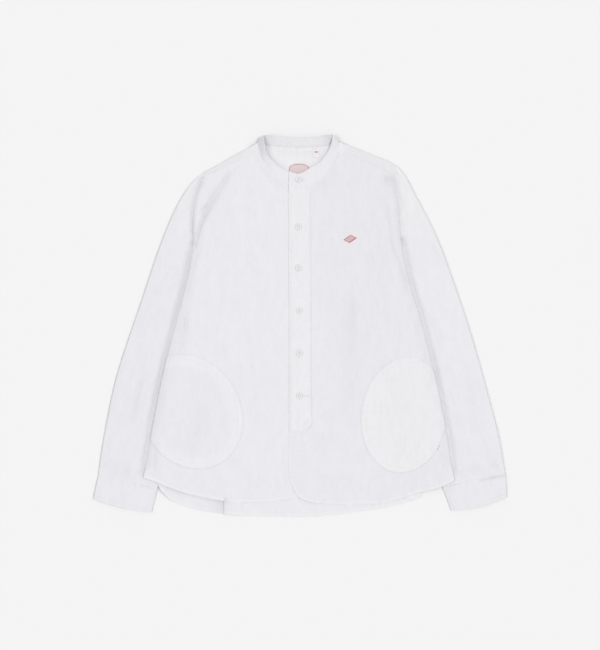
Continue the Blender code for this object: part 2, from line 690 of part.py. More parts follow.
def make_collar_band():
    lower_upper = evenly(BAND_SECTIONS, BAND_STATIONS)
    lower, upper = lower_upper[:, :3], lower_upper[:, 3:]
    upward = (upper - lower) / np.linalg.norm(upper - lower, axis=1, keepdims=True)
    lower = lower + upward * NECK_GAP
    share = np.linspace(0.0, 1.0, BAND_ROWS + 1)[:, None, None]
    grid = lower[None] * (1 - share) + upper[None] * share
    band = add_object("collar_band", mesh_of_grid("collar_band", grid), DOUBLED_LINEN)
    thicken(band, DOUBLED, 0.0)
    return band


# ------------------------------------------------------------------ sleeves and cuffs

def tube_rings(plan, top_height, open_rows):
    """Rings of a pressed tube, from its outer fold over the top to the inner fold and back.

    The inner edge is left open over the first rows, where the tube is cut for the armhole.
    """
    rings = []
    for row, points in enumerate(plan):
        steps = np.linalg.norm(np.diff(points, axis=0), axis=1)
        reach = np.concatenate(([0.0], np.cumsum(steps)))
        heights = top_height(points[:, 0], points[:, 1])
        upper, lower = heights.copy(), np.zeros(len(points))
        for k, here in enumerate(reach):
            outer_round, inner_round = heights[0] / 2, heights[-1] / 2
            from_inner = reach[-1] - here + FOLD_BLUNT * inner_round
            if here < outer_round:
                middle, share = outer_round, 1.0 - here / outer_round
            elif row >= open_rows and from_inner < inner_round:
                middle, share = inner_round, 1.0 - from_inner / inner_round
            else:
                continue
            bulge = math.sqrt(1.0 - share * share)
            upper[k], lower[k] = middle * (1.0 + bulge), middle * (1.0 - bulge)
        top_side = np.column_stack((points, upper))
        under_side = np.column_stack((points, lower))[:0:-1]
        rings.append(np.vstack((top_side, under_side)))
    return np.array(rings)


def fold_spacing(width, radius, columns):
    """Fractions across a pressed tube, closer together round its two folds."""
    corner = np.array([0.0, 0.30, 1.0]) * radius / width
    inside = np.linspace(corner[-1], 1.0 - corner[-1], columns + 1)[1:-1]
    return np.concatenate((corner, inside, [1.0 - corner[2], 1.0]))


def make_tube(name, plan, top_height, thickness, recipe, open_rows=0):
    grid = tube_rings(plan, top_height, open_rows)
    inner_column = plan.shape[1] - 1
    thing = add_object(name, mesh_of_grid(name, grid, inner_column, open_rows), recipe)
    highest_face = max(thing.data.polygons, key=lambda face: face.center.z)
    if highest_face.normal.z < 0:
        thing.data.flip_normals()
    thicken(thing, thickness, -1.0)
    return thing


def sleeve_plan(cut):
    """Stations of plan points down a sleeve, from its outer fold to the armhole or inner fold."""
    armhole = evenly(cut["armhole"], 40)
    armhole = armhole - inward(armhole, cut["sign"]) * ARMHOLE_GAP
    underarm = evenly(cut["underarm"], 10)[1:]
    across = fold_spacing(0.110, SLEEVE_HIGH / 2, SLEEVE_COLUMNS)
    corner = 3
    head_rows = SLEEVE_HEAD_STATIONS
    arm_rows = SLEEVE_STATIONS - head_rows
    outer_split = 0.36
    outer_shares = np.concatenate((np.linspace(0.0, outer_split, head_rows + 1),
                                   np.linspace(outer_split, 1.0, arm_rows + 1)[1:]))
    outer = line_through(cut["sleeve_outer"], outer_shares)
    outer[0] = outer[0] + np.array([cut["sign"] * 0.0018, -0.0006])
    inner = np.vstack((evenly(np.vstack((armhole[corner:], underarm)), head_rows),
                       evenly(cut["sleeve_inner"], arm_rows)[1:]))
    top = line_through(np.vstack((outer[:1], armhole[1:corner + 1])), across)
    bottom = line_through(cut["cuff_seam"], across)
    outer[-1], inner[-1] = bottom[0], bottom[-1]
    down = (length_fractions(outer) + length_fractions(inner)) / 2
    plan = fill_between(outer, inner, top, bottom, down, across)
    away = outer[-2] - outer[-1]
    plan[-1] += away / np.linalg.norm(away) * SEAM_GAP
    return plan


def cuff_plan(cut):
    across = fold_spacing(0.105, CUFF_HEIGHT / 2, 7)
    seam = line_through(cut["cuff_seam"], across)
    edge = line_through(cut["cuff_edge"], across)
    share = np.linspace(0.0, 1.0, CUFF_STATIONS + 1)[:, None, None]
    return seam[None] * (1 - share) + edge[None] * share


def cuff_top(x, y):
    return np.full(np.shape(x), CUFF_HEIGHT)


def make_sleeves():
    for name, cut in (("right", RIGHT), ("left", LEFT)):
        make_tube("sleeve_" + name, sleeve_plan(cut), lambda x, y, c=cut: sleeve_top(x, y, c),
                  CLOTH, LINEN, SLEEVE_HEAD_STATIONS)
        make_tube("cuff_" + name, cuff_plan(cut), cuff_top, DOUBLED, DOUBLED_LINEN)


# ------------------------------------------------------------------ buttons and labels

def highest_under(names, x, y, reach):
    """Highest point of the named pieces under a small round area."""
    bpy.context.view_layer.update()
    depsgraph = bpy.context.evaluated_depsgraph_get()
    best = 0.0
    for name in names:
        thing = bpy.data.objects[name].evaluated_get(depsgraph)
        for k in range(13):
            angle = 2 * math.pi * k / 12
            far = reach if k < 12 else 0.0
            start = Vector((x + far * math.cos(angle), y + far * math.sin(angle), 0.1))
            hit, place, _, _ = thing.ray_cast(start, Vector((0.0, 0.0, -1.0)))
            if hit:
                best = max(best, place.z)
    return best


def make_button(name, x, y, level):
    """A turned button: a flat foot, a rounded rim and a dished middle."""
    radius, height = BUTTON["radius"], BUTTON["height"]
    rim, dish = BUTTON["rim"], BUTTON["dish"]
    profile = (
        (0.0, height - dish), (radius - 1.6 * rim, height - dish), (radius - 0.9 * rim, height),
        (radius - 0.3 * rim, height * 0.92), (radius, height * 0.55), (radius - 0.3 * rim, height * 0.16),
        (radius - 1.1 * rim, 0.0), (0.0, 0.0),
    )
    mesh = bmesh.new()
    points = [mesh.verts.new((r, 0.0, z)) for r, z in profile]
    for a, b in zip(points[:-1], points[1:]):
        mesh.edges.new((a, b))
    data = bpy.data.meshes.new(name)
    mesh.to_mesh(data)
    mesh.free()
    button = add_object(name, data, HORN)
    button.location = (x, y, level)
    turn = button.modifiers.new("turned", "SCREW")
    turn.angle = 2 * math.pi
    turn.steps = 20
    turn.render_steps = 20
    turn.use_merge_vertices = True
    turn.merge_threshold = 0.00005
    turn.use_normal_calculate = True
    return button


def make_label(name, shape, level, recipe):
    """A woven label: a thin plate with softened edges."""
    bpy.ops.mesh.primitive_cube_add(size=1.0, location=(*shape["centre"], level + LABEL / 2))
    label = bpy.context.active_object
    label.name = name
    label.data.name = name
    label.scale = (shape["size"][0], shape["size"][1], LABEL)
    label.rotation_euler = (0.0, 0.0, math.radians(shape["turn"]))
    bpy.ops.object.transform_apply(location=False, rotation=False, scale=True)
    soft = label.modifiers.new("soft_edges", "BEVEL")
    soft.width = LABEL * 0.3
    soft.segments = 1
    label.data.materials.append(material_for(recipe))
    for collection in list(label.users_collection):
        collection.objects.unlink(label)
    bpy.data.collections["band_collar_shirt"].objects.link(label)
    return label


def make_small_pieces(grids):
    for number, (x, y) in enumerate(BUTTON_PLACES, start=1):
        level = highest_under(("collar_band", "placket", "front_left"), x, y, BUTTON["radius"])
        make_button("button_" + str(number), x, y, level + SEAM_GAP)
    chest = rectangle(CHEST_LABEL["centre"], CHEST_LABEL["size"], CHEST_LABEL["turn"])
    patch_on("chest_label", grids["front_left"][:, 3:14], chest, LABEL, WOVEN_RED)
    make_label("neck_label", NECK_LABEL, CLOTH + SEAM_GAP, WOVEN_RED)
    make_label("size_tab", SIZE_TAB, CLOTH + SEAM_GAP, WOVEN_WHITE)


def main():
    for thing in list(bpy.data.objects):
        bpy.data.objects.remove(thing, do_unlink=True)
    for name in ("band_collar_shirt", "cutters"):
        bpy.context.scene.collection.children.link(bpy.data.collections.new(name))
    grids = make_body()
    make_pockets(grids)
    make_placket(grids)
    make_collar_band()
    make_sleeves()
    make_small_pieces(grids)


main()
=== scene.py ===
# %% [markdown]
# A white linen shirt with a band collar lies flat on its back. The solid model gives every cut
# piece its place. In this lesson each piece becomes cloth: it gets soft creases, a weave and its
# sewing. Lengths are in metres, the collar points to +Y and the wearer's left is +X.

# %% Load the solid model
import json
import math

import bpy
import numpy as np
from mathutils import Matrix, Vector
from mathutils.kdtree import KDTree

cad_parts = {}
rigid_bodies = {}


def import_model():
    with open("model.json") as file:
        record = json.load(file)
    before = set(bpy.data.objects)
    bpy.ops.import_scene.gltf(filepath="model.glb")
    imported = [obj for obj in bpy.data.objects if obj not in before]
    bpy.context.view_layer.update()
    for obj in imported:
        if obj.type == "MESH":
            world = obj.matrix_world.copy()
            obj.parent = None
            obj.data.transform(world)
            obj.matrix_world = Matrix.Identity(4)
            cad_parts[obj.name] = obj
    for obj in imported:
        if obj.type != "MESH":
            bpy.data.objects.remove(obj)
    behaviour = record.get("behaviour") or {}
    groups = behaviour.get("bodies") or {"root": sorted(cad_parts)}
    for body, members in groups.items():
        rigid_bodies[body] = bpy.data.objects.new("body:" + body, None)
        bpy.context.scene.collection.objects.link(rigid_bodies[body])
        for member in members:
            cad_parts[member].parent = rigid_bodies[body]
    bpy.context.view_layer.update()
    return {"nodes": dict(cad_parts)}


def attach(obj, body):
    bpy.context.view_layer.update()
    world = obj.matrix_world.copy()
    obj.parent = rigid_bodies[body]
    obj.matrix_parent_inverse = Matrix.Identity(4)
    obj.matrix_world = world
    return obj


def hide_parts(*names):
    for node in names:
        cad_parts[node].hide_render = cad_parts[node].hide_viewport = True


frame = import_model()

# %% [markdown]
# Blender's operators act on whatever is selected, and the loaded model is selected as it comes
# in. So the first helper clears the selection and picks only the pieces we name.

# %% Pick pieces and finish modifiers
def pick(*pieces):
    """Selects these pieces alone and makes the first one active."""
    if bpy.context.mode != "OBJECT":
        bpy.ops.object.mode_set(mode="OBJECT")
    bpy.ops.object.select_all(action="DESELECT")
    for piece in pieces:
        piece.select_set(True)
    bpy.context.view_layer.objects.active = pieces[0]


def finish_with(piece, kind, **settings):
    """Adds one modifier to a piece and applies it."""
    pick(piece)
    bpy.ops.object.modifier_add(type=kind)
    modifier = piece.modifiers[-1]
    for name, value in settings.items():
        setattr(modifier, name, value)
    bpy.ops.object.modifier_apply(modifier=modifier.name)


SIDES = ("left", "right")

bpy.ops.object.select_all(action="DESELECT")
print("pieces in the solid model:", len(frame["nodes"]))

# %% [markdown]
# The shirt is seen straight from above. A long lens keeps the parallax small, as a camera high
# on a copy stand does. The lens is 85 mm and the view is 1.05 m wide.

# %% Camera
VIEW_WIDTH = 1.05
LENS = 85.0
SENSOR = 36.0
VIEW_CENTRE = (0.0, 0.00175)
CLOTH_LEVEL = 0.006       # height at which the view is that wide
FAR_AWAY = 20.0

bpy.ops.object.camera_add(
    location=(*VIEW_CENTRE, VIEW_WIDTH * LENS / SENSOR + CLOTH_LEVEL), rotation=(0.0, 0.0, 0.0))
camera = bpy.context.object
camera.data.lens = LENS
camera.data.sensor_width = SENSOR
camera.data.sensor_fit = "HORIZONTAL"
camera.data.clip_end = FAR_AWAY
bpy.context.scene.camera = camera
print("camera height:", round(camera.location.z, 3))

# %% [markdown]
# White cloth on a pale floor shows its creases only where light can't reach. So two wide, weak
# suns stand for a soft box on each side, the right one a little stronger, and an even pale sky
# gives the rest. Gaps and seams then darken softly, and the floor keeps one tone everywhere.
# Cloth and floor are a little greyer than they look, and the light is stronger to match. White
# that is too pure would fill its own creases with bounced light.

# %% Light and floor
SKY = 0.585
# the direction that each light comes from, its width in degrees and its share of the light
SUNS = (((0.45, 0.10, 0.88), 16.0, 0.34), ((-0.50, 0.04, 0.85), 40.0, 0.25))
FLOOR_SIZE = 9.0
FLOOR_LEVEL = -0.0004     # a hair below the cloth
FLOOR_TONE = 0.774

world = bpy.data.worlds.new("pale_sky")
world.use_nodes = True
sky = world.node_tree.nodes["Background"]
sky.inputs["Color"].default_value = (1.0, 1.0, 1.0, 1.0)
sky.inputs["Strength"].default_value = SKY
bpy.context.scene.world = world

for direction, width, share in SUNS:
    toward = Vector(direction).normalized()
    bpy.ops.object.light_add(type="SUN", location=toward * 2.0)
    sun = bpy.context.object
    sun.rotation_euler = toward.to_track_quat("Z", "Y").to_euler()
    sun.data.energy = share * math.pi / toward.z
    sun.data.angle = math.radians(width)

bpy.context.scene.view_settings.view_transform = "Standard"

bpy.ops.mesh.primitive_plane_add(size=FLOOR_SIZE, location=(0.0, 0.0, FLOOR_LEVEL))
floor = bpy.context.object
floor.name = "floor"
pale = bpy.data.materials.new("pale_floor")
pale.use_nodes = True
pale_shader = pale.node_tree.nodes["Principled BSDF"]
pale_shader.inputs["Base Color"].default_value = (FLOOR_TONE, FLOOR_TONE, FLOOR_TONE, 1.0)
pale_shader.inputs["Roughness"].default_value = 0.9
pale_shader.inputs["Specular IOR Level"].default_value = 0.0
floor.data.materials.append(pale)
print("floor laid at", floor.location.z)

# %% [markdown]
# Every finish is a small tree of shader nodes. Two helpers keep it readable: one adds a node
# and fills or links its inputs, the other does a sum.

# %% Wire up shader nodes
def wire(tree, kind, inputs=(), **settings):
    """Adds a node, sets its properties and fills or links its inputs."""
    node = tree.nodes.new(kind)
    for name, value in settings.items():
        setattr(node, name, value)
    for key, value in dict(inputs).items():
        if isinstance(value, bpy.types.NodeSocket):
            tree.links.new(value, node.inputs[key])
        else:
            node.inputs[key].default_value = value
    return node


def maths(tree, operation, first, second=0.0):
    """The outcome of one sum on two sockets or numbers."""
    return wire(tree, "ShaderNodeMath", {0: first, 1: second}, operation=operation).outputs[0]

# %% [markdown]
# Linen is a plain weave of uneven threads. Seen close, warp and weft pass over and under each
# other, and here and there a thread swells into a slub. The node group below makes both from
# the piece's own coordinates, so any piece of linen can use it with its own thread direction.
# It also gives the small dents, about a centimetre across, that linen keeps even when pressed.

# %% The weave as a shader node group
SLUB_STRETCH = 0.03       # a slub's width over its length
SLUBS_ACROSS = 620.0      # noise cells in a metre
DENTS_ACROSS = 84.0
LENGTHWISE, CROSSWISE = 0.62, 0.38      # share of the slubs in each thread direction

weave = bpy.data.node_groups.new("linen_weave", "ShaderNodeTree")
weave.interface.new_socket("Vector", in_out="INPUT", socket_type="NodeSocketVector")
for title, default in (("Thread", 0.0007), ("Weave Depth", 0.35)):
    socket = weave.interface.new_socket(title, in_out="INPUT", socket_type="NodeSocketFloat")
    socket.default_value = default
for title in ("Height", "Slubs", "Crumple"):
    weave.interface.new_socket(title, in_out="OUTPUT", socket_type="NodeSocketFloat")

entry = weave.nodes.new("NodeGroupInput").outputs
axes = wire(weave, "ShaderNodeSeparateXYZ", {0: entry["Vector"]}).outputs
turns = [maths(weave, "MULTIPLY", maths(weave, "DIVIDE", axis, entry["Thread"]), math.pi)
         for axis in axes[:2]]
rise_of = [maths(weave, "SINE", turn) for turn in turns]
over = maths(weave, "GREATER_THAN", maths(weave, "MULTIPLY", rise_of[0], rise_of[1]), 0.0)
warp = maths(weave, "MULTIPLY", maths(weave, "ABSOLUTE", rise_of[0]), over)
under = maths(weave, "SUBTRACT", 1.0, over)
weft = maths(weave, "MULTIPLY", maths(weave, "ABSOLUTE", rise_of[1]), under)
threads = maths(weave, "ADD", warp, weft)


def stretched_noise(stretch, **settings):
    """Noise whose cells are drawn out along the axes where stretch is below 1."""
    place = wire(weave, "ShaderNodeVectorMath", {0: entry["Vector"], 1: stretch}, operation="MULTIPLY")
    noise = wire(weave, "ShaderNodeTexNoise", {"Vector": place.outputs[0], **settings})
    return noise.outputs["Fac"]


slubs = []
for stretch, share in (((1.0, SLUB_STRETCH, 1.0), LENGTHWISE), ((SLUB_STRETCH, 1.0, 1.0), CROSSWISE)):
    noise = stretched_noise(stretch, Scale=SLUBS_ACROSS, Detail=3.0, Roughness=0.6)
    slubs.append(maths(weave, "MULTIPLY", noise, share))
slub = maths(weave, "ADD", *slubs)
crumple = stretched_noise((1.0, 0.42, 1.0), Scale=DENTS_ACROSS, Detail=2.5, Roughness=0.60, Distortion=0.4)

leave = weave.nodes.new("NodeGroupOutput").inputs
height = maths(weave, "ADD", maths(weave, "MULTIPLY", threads, entry["Weave Depth"]), slub)
for title, value in (("Height", height), ("Slubs", slub), ("Crumple", crumple)):
    weave.links.new(value, leave[title])
print("weave group nodes:", len(weave.nodes))

# %% [markdown]
# One recipe makes every linen finish. The thread direction turns with the cut: straight on the
# body, along the arm on each sleeve. The tint is a cool white that varies a little with the
# slubs. It is whiter over more cloth, as thin linen is, and in places lighter as painted light. The
# colour also carries painted shade: dents are painted darker and their rises lighter, and deep
# folds and gaps are painted greyer than their shape alone makes them.

# %% Linen finishes
SINGLE = (0.703, 0.697, 0.728)          # one layer of cloth
DOUBLE = (0.730, 0.726, 0.745)          # several layers
SLUB_TINT = (0.30, 0.70, 0.987, 1.013)  # from, to, and the tint at either end
# painted shade and light of the dents: from, to, and the tint at either end
DENT_PAINTED_SHADE = (0.25, 0.75, 0.979, 1.021)
DENT_DEPTH = 0.0020
THREAD_DEPTH = 0.0004


def linen(name, turn=0.0, bump=0.22):
    """White linen. A piece's layers and painted light attribute is 0 on one layer of cloth and 1 on
    several, and in places holds painted light. Its painted shade attribute is the share of light
    taken off in deep folds and gaps: painted shade."""
    material = bpy.data.materials.new(name)
    material.use_nodes = True
    tree = material.node_tree
    shader = tree.nodes["Principled BSDF"]
    shader.inputs["Roughness"].default_value = 0.85
    shader.inputs["Specular IOR Level"].default_value = 0.15
    place = wire(tree, "ShaderNodeTexCoord").outputs["Object"]
    turned = wire(tree, "ShaderNodeMapping", {"Vector": place, "Rotation": (0.0, 0.0, turn)})
    cloth = wire(tree, "ShaderNodeGroup", {}, node_tree=weave)
    tree.links.new(turned.outputs[0], cloth.inputs["Vector"])
    # whiter over more cloth, and in places lighter as painted light
    layers_and_painted_light = wire(tree, "ShaderNodeAttribute", attribute_name="layers_and_painted_light")
    tint = wire(tree, "ShaderNodeMix", {0: layers_and_painted_light.outputs["Fac"]}, data_type="RGBA")
    tint.inputs[6].default_value = (*SINGLE, 1.0)
    tint.inputs[7].default_value = (*DOUBLE, 1.0)
    factors = []
    # the slubs vary the tint; the dents are painted darker and their rises lighter: painted shade and light
    for output, limits in (("Slubs", SLUB_TINT), ("Crumple", DENT_PAINTED_SHADE)):
        ends = dict(zip(("From Min", "From Max", "To Min", "To Max"), limits))
        factors.append(wire(tree, "ShaderNodeMapRange", {"Value": cloth.outputs[output], **ends}).outputs[0])
    # painted shade: the colour is darkened by the share in the painted shade attribute
    painted_shade = wire(tree, "ShaderNodeAttribute", attribute_name="painted_shade")
    factors.append(maths(tree, "SUBTRACT", 1.0, painted_shade.outputs["Fac"]))
    colour = tint.outputs[2]
    for factor in factors:
        colour = wire(tree, "ShaderNodeMix", {0: 1.0, 6: colour, 7: factor},
                      data_type="RGBA", blend_type="MULTIPLY").outputs[2]
    tree.links.new(colour, shader.inputs["Base Color"])
    dented = wire(tree, "ShaderNodeBump", {"Height": cloth.outputs["Crumple"],
                                           "Strength": 1.0, "Distance": DENT_DEPTH})
    relief = wire(tree, "ShaderNodeBump", {"Height": cloth.outputs["Height"], "Normal": dented.outputs[0],
                                           "Strength": bump, "Distance": THREAD_DEPTH})
    tree.links.new(relief.outputs[0], shader.inputs["Normal"])
    return material


ARM_TURN = math.radians(17.0)
linen_body = linen("linen_body")
linen_arm = {"left": linen("linen_arm_left", -ARM_TURN), "right": linen("linen_arm_right", ARM_TURN)}
print("linen finishes:", [m.name for m in bpy.data.materials if m.name.startswith("linen_")])

# %% [markdown]
# Each large panel starts as a copy of its solid, because the solid already has the right cut
# and layers. The copy's loose triangles are merged and paired into quads, its rims are creased
# so that they stay crisp, and a Subdivision Surface turns its facets into flowing cloth.

# %% Turn a solid into flowing cloth
SAME_PLACE = 0.00001


def planes(axis, spots):
    """Places and directions of bisecting planes across the X or Y axis."""
    facing = (1.0, 0.0, 0.0) if axis == "x" else (0.0, 1.0, 0.0)
    return [(tuple(spot * share for share in facing), facing) for spot in spots]


def fine_copy(node, levels, cuts=()):
    """A smooth copy of a solid with crisp rims. Cuts are extra bisecting planes."""
    piece = bpy.data.objects.new(node + "_cloth", frame["nodes"][node].data.copy())
    bpy.context.scene.collection.objects.link(piece)
    pick(piece)
    bpy.ops.object.mode_set(mode="EDIT")
    bpy.ops.mesh.select_all(action="SELECT")
    bpy.ops.mesh.remove_doubles(threshold=SAME_PLACE)
    bpy.ops.mesh.tris_convert_to_quads(face_threshold=math.radians(40),
                                       shape_threshold=math.radians(60))
    for spot, facing in cuts:
        bpy.ops.mesh.select_all(action="SELECT")
        bpy.ops.mesh.bisect(plane_co=spot, plane_no=facing, threshold=SAME_PLACE)
    bpy.ops.mesh.select_mode(type="EDGE")
    bpy.ops.mesh.select_all(action="DESELECT")
    bpy.ops.mesh.edges_select_sharp(sharpness=math.radians(50))
    bpy.ops.transform.edge_crease(value=1.0)
    bpy.ops.object.mode_set(mode="OBJECT")
    finish_with(piece, "SUBSURF", levels=levels, render_levels=levels)
    piece.data.materials.clear()
    print(piece.name, "faces:", len(piece.data.polygons))
    return piece


# %% [markdown]
# Most panels come with enough points of their own. The yoke and the back are plain inside, so
# they are bisected into a lattice first, finer where the neck and the tail need it.

# %% Make the panels
FOLD_X = -0.1345          # a fold at the tail, where the cloth steps up
FOLD_STEPS = (-0.003, 0.0, 0.0016, 0.006)
NECK_LATTICE = (planes("x", np.arange(-0.078, 0.077, 0.006))
                + planes("y", np.arange(0.260, 0.323, 0.006)))
BACK_LATTICE = (planes("x", np.arange(-0.25, 0.26, 0.025))
                + planes("y", (-0.325, -0.3125, -0.300, -0.2875, -0.275, -0.250))
                + planes("y", np.arange(-0.200, 0.21, 0.050))
                + planes("x", [FOLD_X + step for step in FOLD_STEPS]))
cloths = {node: fine_copy(node, 3) for node in (
    "front_left", "front_right", "sleeve_left", "sleeve_right", "collar_band",
    "cuff_left", "cuff_right", "pocket_left", "pocket_right", "placket")}
cloths["yoke"] = fine_copy("yoke", 2, NECK_LATTICE)
cloths["back"] = fine_copy("back", 2, BACK_LATTICE)

# %% [markdown]
# Creases need two things: where a point lies and how far it is from a line. These helpers read
# and write a mesh's points all at once, run a smooth line through a few rows of a table, and
# measure the gap from every point to that line.

# %% Points, lines and gaps
def points_of(piece):
    """All points of a mesh, one row of x, y, z each."""
    flat = np.empty(len(piece.data.vertices) * 3)
    piece.data.vertices.foreach_get("co", flat)
    return flat.reshape(-1, 3)


def set_points(piece, points):
    """Moves the points of a mesh to these rows."""
    piece.data.vertices.foreach_set("co", points.ravel())
    piece.data.update()


def soft(value):
    """0 below 0, 1 above 1 and an even rise between."""
    clipped = np.clip(value, 0.0, 1.0)
    return clipped * clipped * (3.0 - 2.0 * clipped)


def rising(value, start, width):
    """0 up to start and 1 a width further on, with an even rise between."""
    return soft((value - start) / width)


def bell(gap, width):
    """1 on a line, fading evenly to both sides of it."""
    return np.exp(-(gap / width) ** 2)


def line_through(rows, step=0.005):
    """Evenly spaced points of a smooth line through the rows of x, y."""
    knots = np.array(rows, dtype=float)
    lengths = np.linalg.norm(np.diff(knots, axis=0), axis=1)
    reach = np.concatenate(([0.0], np.cumsum(lengths)))
    if len(knots) == 2:
        slopes = np.repeat(np.diff(knots, axis=0) / lengths[0], 2, axis=0)
    else:
        slopes = np.gradient(knots, reach, axis=0)
    count = max(2, int(round(reach[-1] / step)) + 1)
    distance = np.linspace(0.0, reach[-1], count)
    index = np.clip(np.searchsorted(reach, distance, side="right") - 1, 0, len(lengths) - 1)
    size = lengths[index][:, None]
    t = ((distance - reach[index]) / lengths[index])[:, None]
    ends = knots[index] * (1 + 2 * t) * (1 - t) ** 2 + knots[index + 1] * (3 - 2 * t) * t ** 2
    return ends + size * (slopes[index] * t * (1 - t) ** 2 - slopes[index + 1] * t ** 2 * (1 - t))


def gap_to(points, line):
    """Gap from each point to a line in plan, and the share of the line's length there."""
    best = np.full(len(points), np.inf)
    along = np.zeros(len(points))
    for number, (start, end) in enumerate(zip(line[:-1], line[1:])):
        run = end - start
        offset = points[:, :2] - start
        t = np.clip(offset @ run / max(run @ run, 1e-12), 0.0, 1.0)
        gap = np.hypot(offset[:, 0] - t * run[0], offset[:, 1] - t * run[1])
        nearer = gap < best
        best = np.where(nearer, gap, best)
        along = np.where(nearer, (number + t) / (len(line) - 1), along)
    return best, along


def gap_from(points, line):
    """Gap from each point to a line in plan."""
    return gap_to(points, line)[0]


def on_side(points, side):
    """True for the points on the wearer's left or right of the middle."""
    return points[:, 0] > 0 if side == "left" else points[:, 0] < 0


def valley(gap, half_width):
    """The section of a fold line: steep at the line, flattening away from it."""
    return np.exp(-np.sqrt((gap / half_width) ** 2 + 0.04) + 0.2)


# %% [markdown]
# A crease is a line through three places. It is strongest at its middle and runs out at both
# ends. A ridge is round, and a trough is sharp at its bottom, as a fold in pressed linen is. A
# deep trough is also painted greyer: painted shade.

# %% Creases and their painted shade
CREASE_STEP = 0.012       # between the points of a crease's line
# painted shade of the valleys: how much, and how wide
FOLD_PAINTED_SHADE = 21.0          # share of light lost for each metre of a valley's depth
PAINTED_SHADE_SPREAD = 1.35        # width of the grey over the width of the valley
SHALLOW = -0.0009         # a valley less deep than this loses no light


def gap_to_crease(points, row):
    """Gap from each point to a crease's line, and the strength of the crease there."""
    x0, y0, x1, y1, x2, y2 = row[:6]
    gap, along = gap_to(points, line_through(((x0, y0), (x1, y1), (x2, y2)), CREASE_STEP))
    return gap, np.sin(math.pi * np.clip(along, 0.02, 0.98))


def creases(points, rows):
    """Rise of all creases of a table: round ridges, and valleys where the height is below 0."""
    rise = np.zeros(len(points))
    for *places, half_width, height in rows:
        gap, strength = gap_to_crease(points, places)
        section = valley(gap, half_width) if height < 0.0 else bell(gap, half_width)
        rise += height * section * strength
    return rise


def crease_painted_shade(points, rows):
    """Painted shade in the valleys of a table: the share of light taken off."""
    lost = np.zeros(len(points))
    for *places, half_width, height in rows:
        if height < SHALLOW:
            gap, strength = gap_to_crease(points, places)
            lost -= FOLD_PAINTED_SHADE * height * bell(gap, PAINTED_SHADE_SPREAD * half_width) * strength
    return lost


print("a crease keeps", round(float(valley(0.002, 0.005)), 2), "of its depth 2 mm from its line")

# %% [markdown]
# The lines along which the shirt was cut guide all that follows: seams dip, hems thicken and
# side edges roll where the cloth is near one of them.

# %% Cut lines of the shirt
# x, y along each line, and for a pocket its centre, its two radii and its turn in degrees
CUT = {
    "left": {
        "shoulder": ((0.0705, 0.306), (0.121, 0.284), (0.167, 0.2635)),
        "armhole": ((0.168, 0.281), (0.167, 0.264), (0.169, 0.241), (0.1725, 0.213),
                    (0.174, 0.186), (0.177, 0.150)),
        "side": ((0.177, 0.150), (0.192, 0.080), (0.213, 0.010), (0.231, -0.060),
                 (0.247, -0.130), (0.260, -0.200), (0.270, -0.270)),
        "hem": ((-0.005, -0.3005), (0.014, -0.308), (0.052, -0.312), (0.105, -0.3125),
                (0.149, -0.310), (0.175, -0.303), (0.217, -0.2895), (0.247, -0.282), (0.270, -0.270)),
        "centre": ((-0.020, 0.2445), (-0.020, 0.133), (-0.019, -0.007), (-0.019, -0.130),
                   (-0.0195, -0.226), (-0.021, -0.252), (-0.018, -0.270), (-0.011, -0.287),
                   (-0.005, -0.3005)),
        "neck": ((-0.020, 0.2445), (0.000, 0.241), (0.021, 0.245), (0.040, 0.257),
                 (0.056, 0.277), (0.066, 0.294), (0.0705, 0.306)),
        "arm_outer": ((0.168, 0.281), (0.177, 0.274), (0.188, 0.259), (0.197, 0.238), (0.211, 0.213),
                      (0.242, 0.150), (0.268, 0.080), (0.292, 0.010), (0.313, -0.060),
                      (0.332, -0.130), (0.350, -0.200), (0.360, -0.261)),
        "cuff_seam": ((0.360, -0.261), (0.305, -0.272), (0.250, -0.282)),
        "cuff_edge": ((0.3625, -0.299), (0.315, -0.3165), (0.266, -0.324)),
        "pocket": (0.182, -0.156, 0.076, 0.103, -8.0),
    },
    "right": {
        "shoulder": ((-0.0745, 0.304), (-0.122, 0.282), (-0.1706, 0.2605)),
        "armhole": ((-0.167, 0.270), (-0.172, 0.257), (-0.180, 0.236), (-0.186, 0.212),
                    (-0.1885, 0.186), (-0.187, 0.145)),
        "side": ((-0.187, 0.145), (-0.200, 0.080), (-0.218, 0.010), (-0.236, -0.060),
                 (-0.251, -0.130), (-0.264, -0.200), (-0.274, -0.266)),
        "hem": ((0.018, -0.302), (-0.005, -0.300), (-0.035, -0.306), (-0.070, -0.309),
                (-0.105, -0.309), (-0.133, -0.307), (-0.166, -0.301), (-0.219, -0.287),
                (-0.245, -0.276), (-0.262, -0.268), (-0.274, -0.266)),
        "centre": ((0.018, 0.2425), (0.018, -0.302)),
        "neck": ((0.018, 0.2425), (0.000, 0.241), (-0.021, 0.245), (-0.040, 0.258),
                 (-0.057, 0.277), (-0.069, 0.293), (-0.0745, 0.304)),
        "arm_outer": ((-0.167, 0.270), (-0.177, 0.264), (-0.198, 0.241), (-0.217, 0.208),
                      (-0.249, 0.130), (-0.277, 0.046), (-0.301, -0.024), (-0.323, -0.094),
                      (-0.338, -0.164), (-0.350, -0.234), (-0.354, -0.264)),
        "cuff_seam": ((-0.354, -0.264), (-0.306, -0.2735), (-0.250, -0.285)),
        "cuff_edge": ((-0.3625, -0.303), (-0.315, -0.3175), (-0.261, -0.327)),
        "pocket": (-0.192, -0.150, 0.088, 0.106, 31.0),
    },
}
LINE = {side: {name: line_through(rows) for name, rows in cut.items() if name != "pocket"}
        for side, cut in CUT.items()}
TAIL = line_through((
    (-0.2475, -0.2745), (-0.2435, -0.289), (-0.2355, -0.2985), (-0.218, -0.3095), (-0.1925, -0.3190),
    (-0.170, -0.3245), (-0.149, -0.3275), (-0.122, -0.3310), (-0.080, -0.3335), (0.000, -0.3348),
    (0.088, -0.327), (0.140, -0.320), (0.175, -0.313), (0.2165, -0.2875), (0.247, -0.279)))


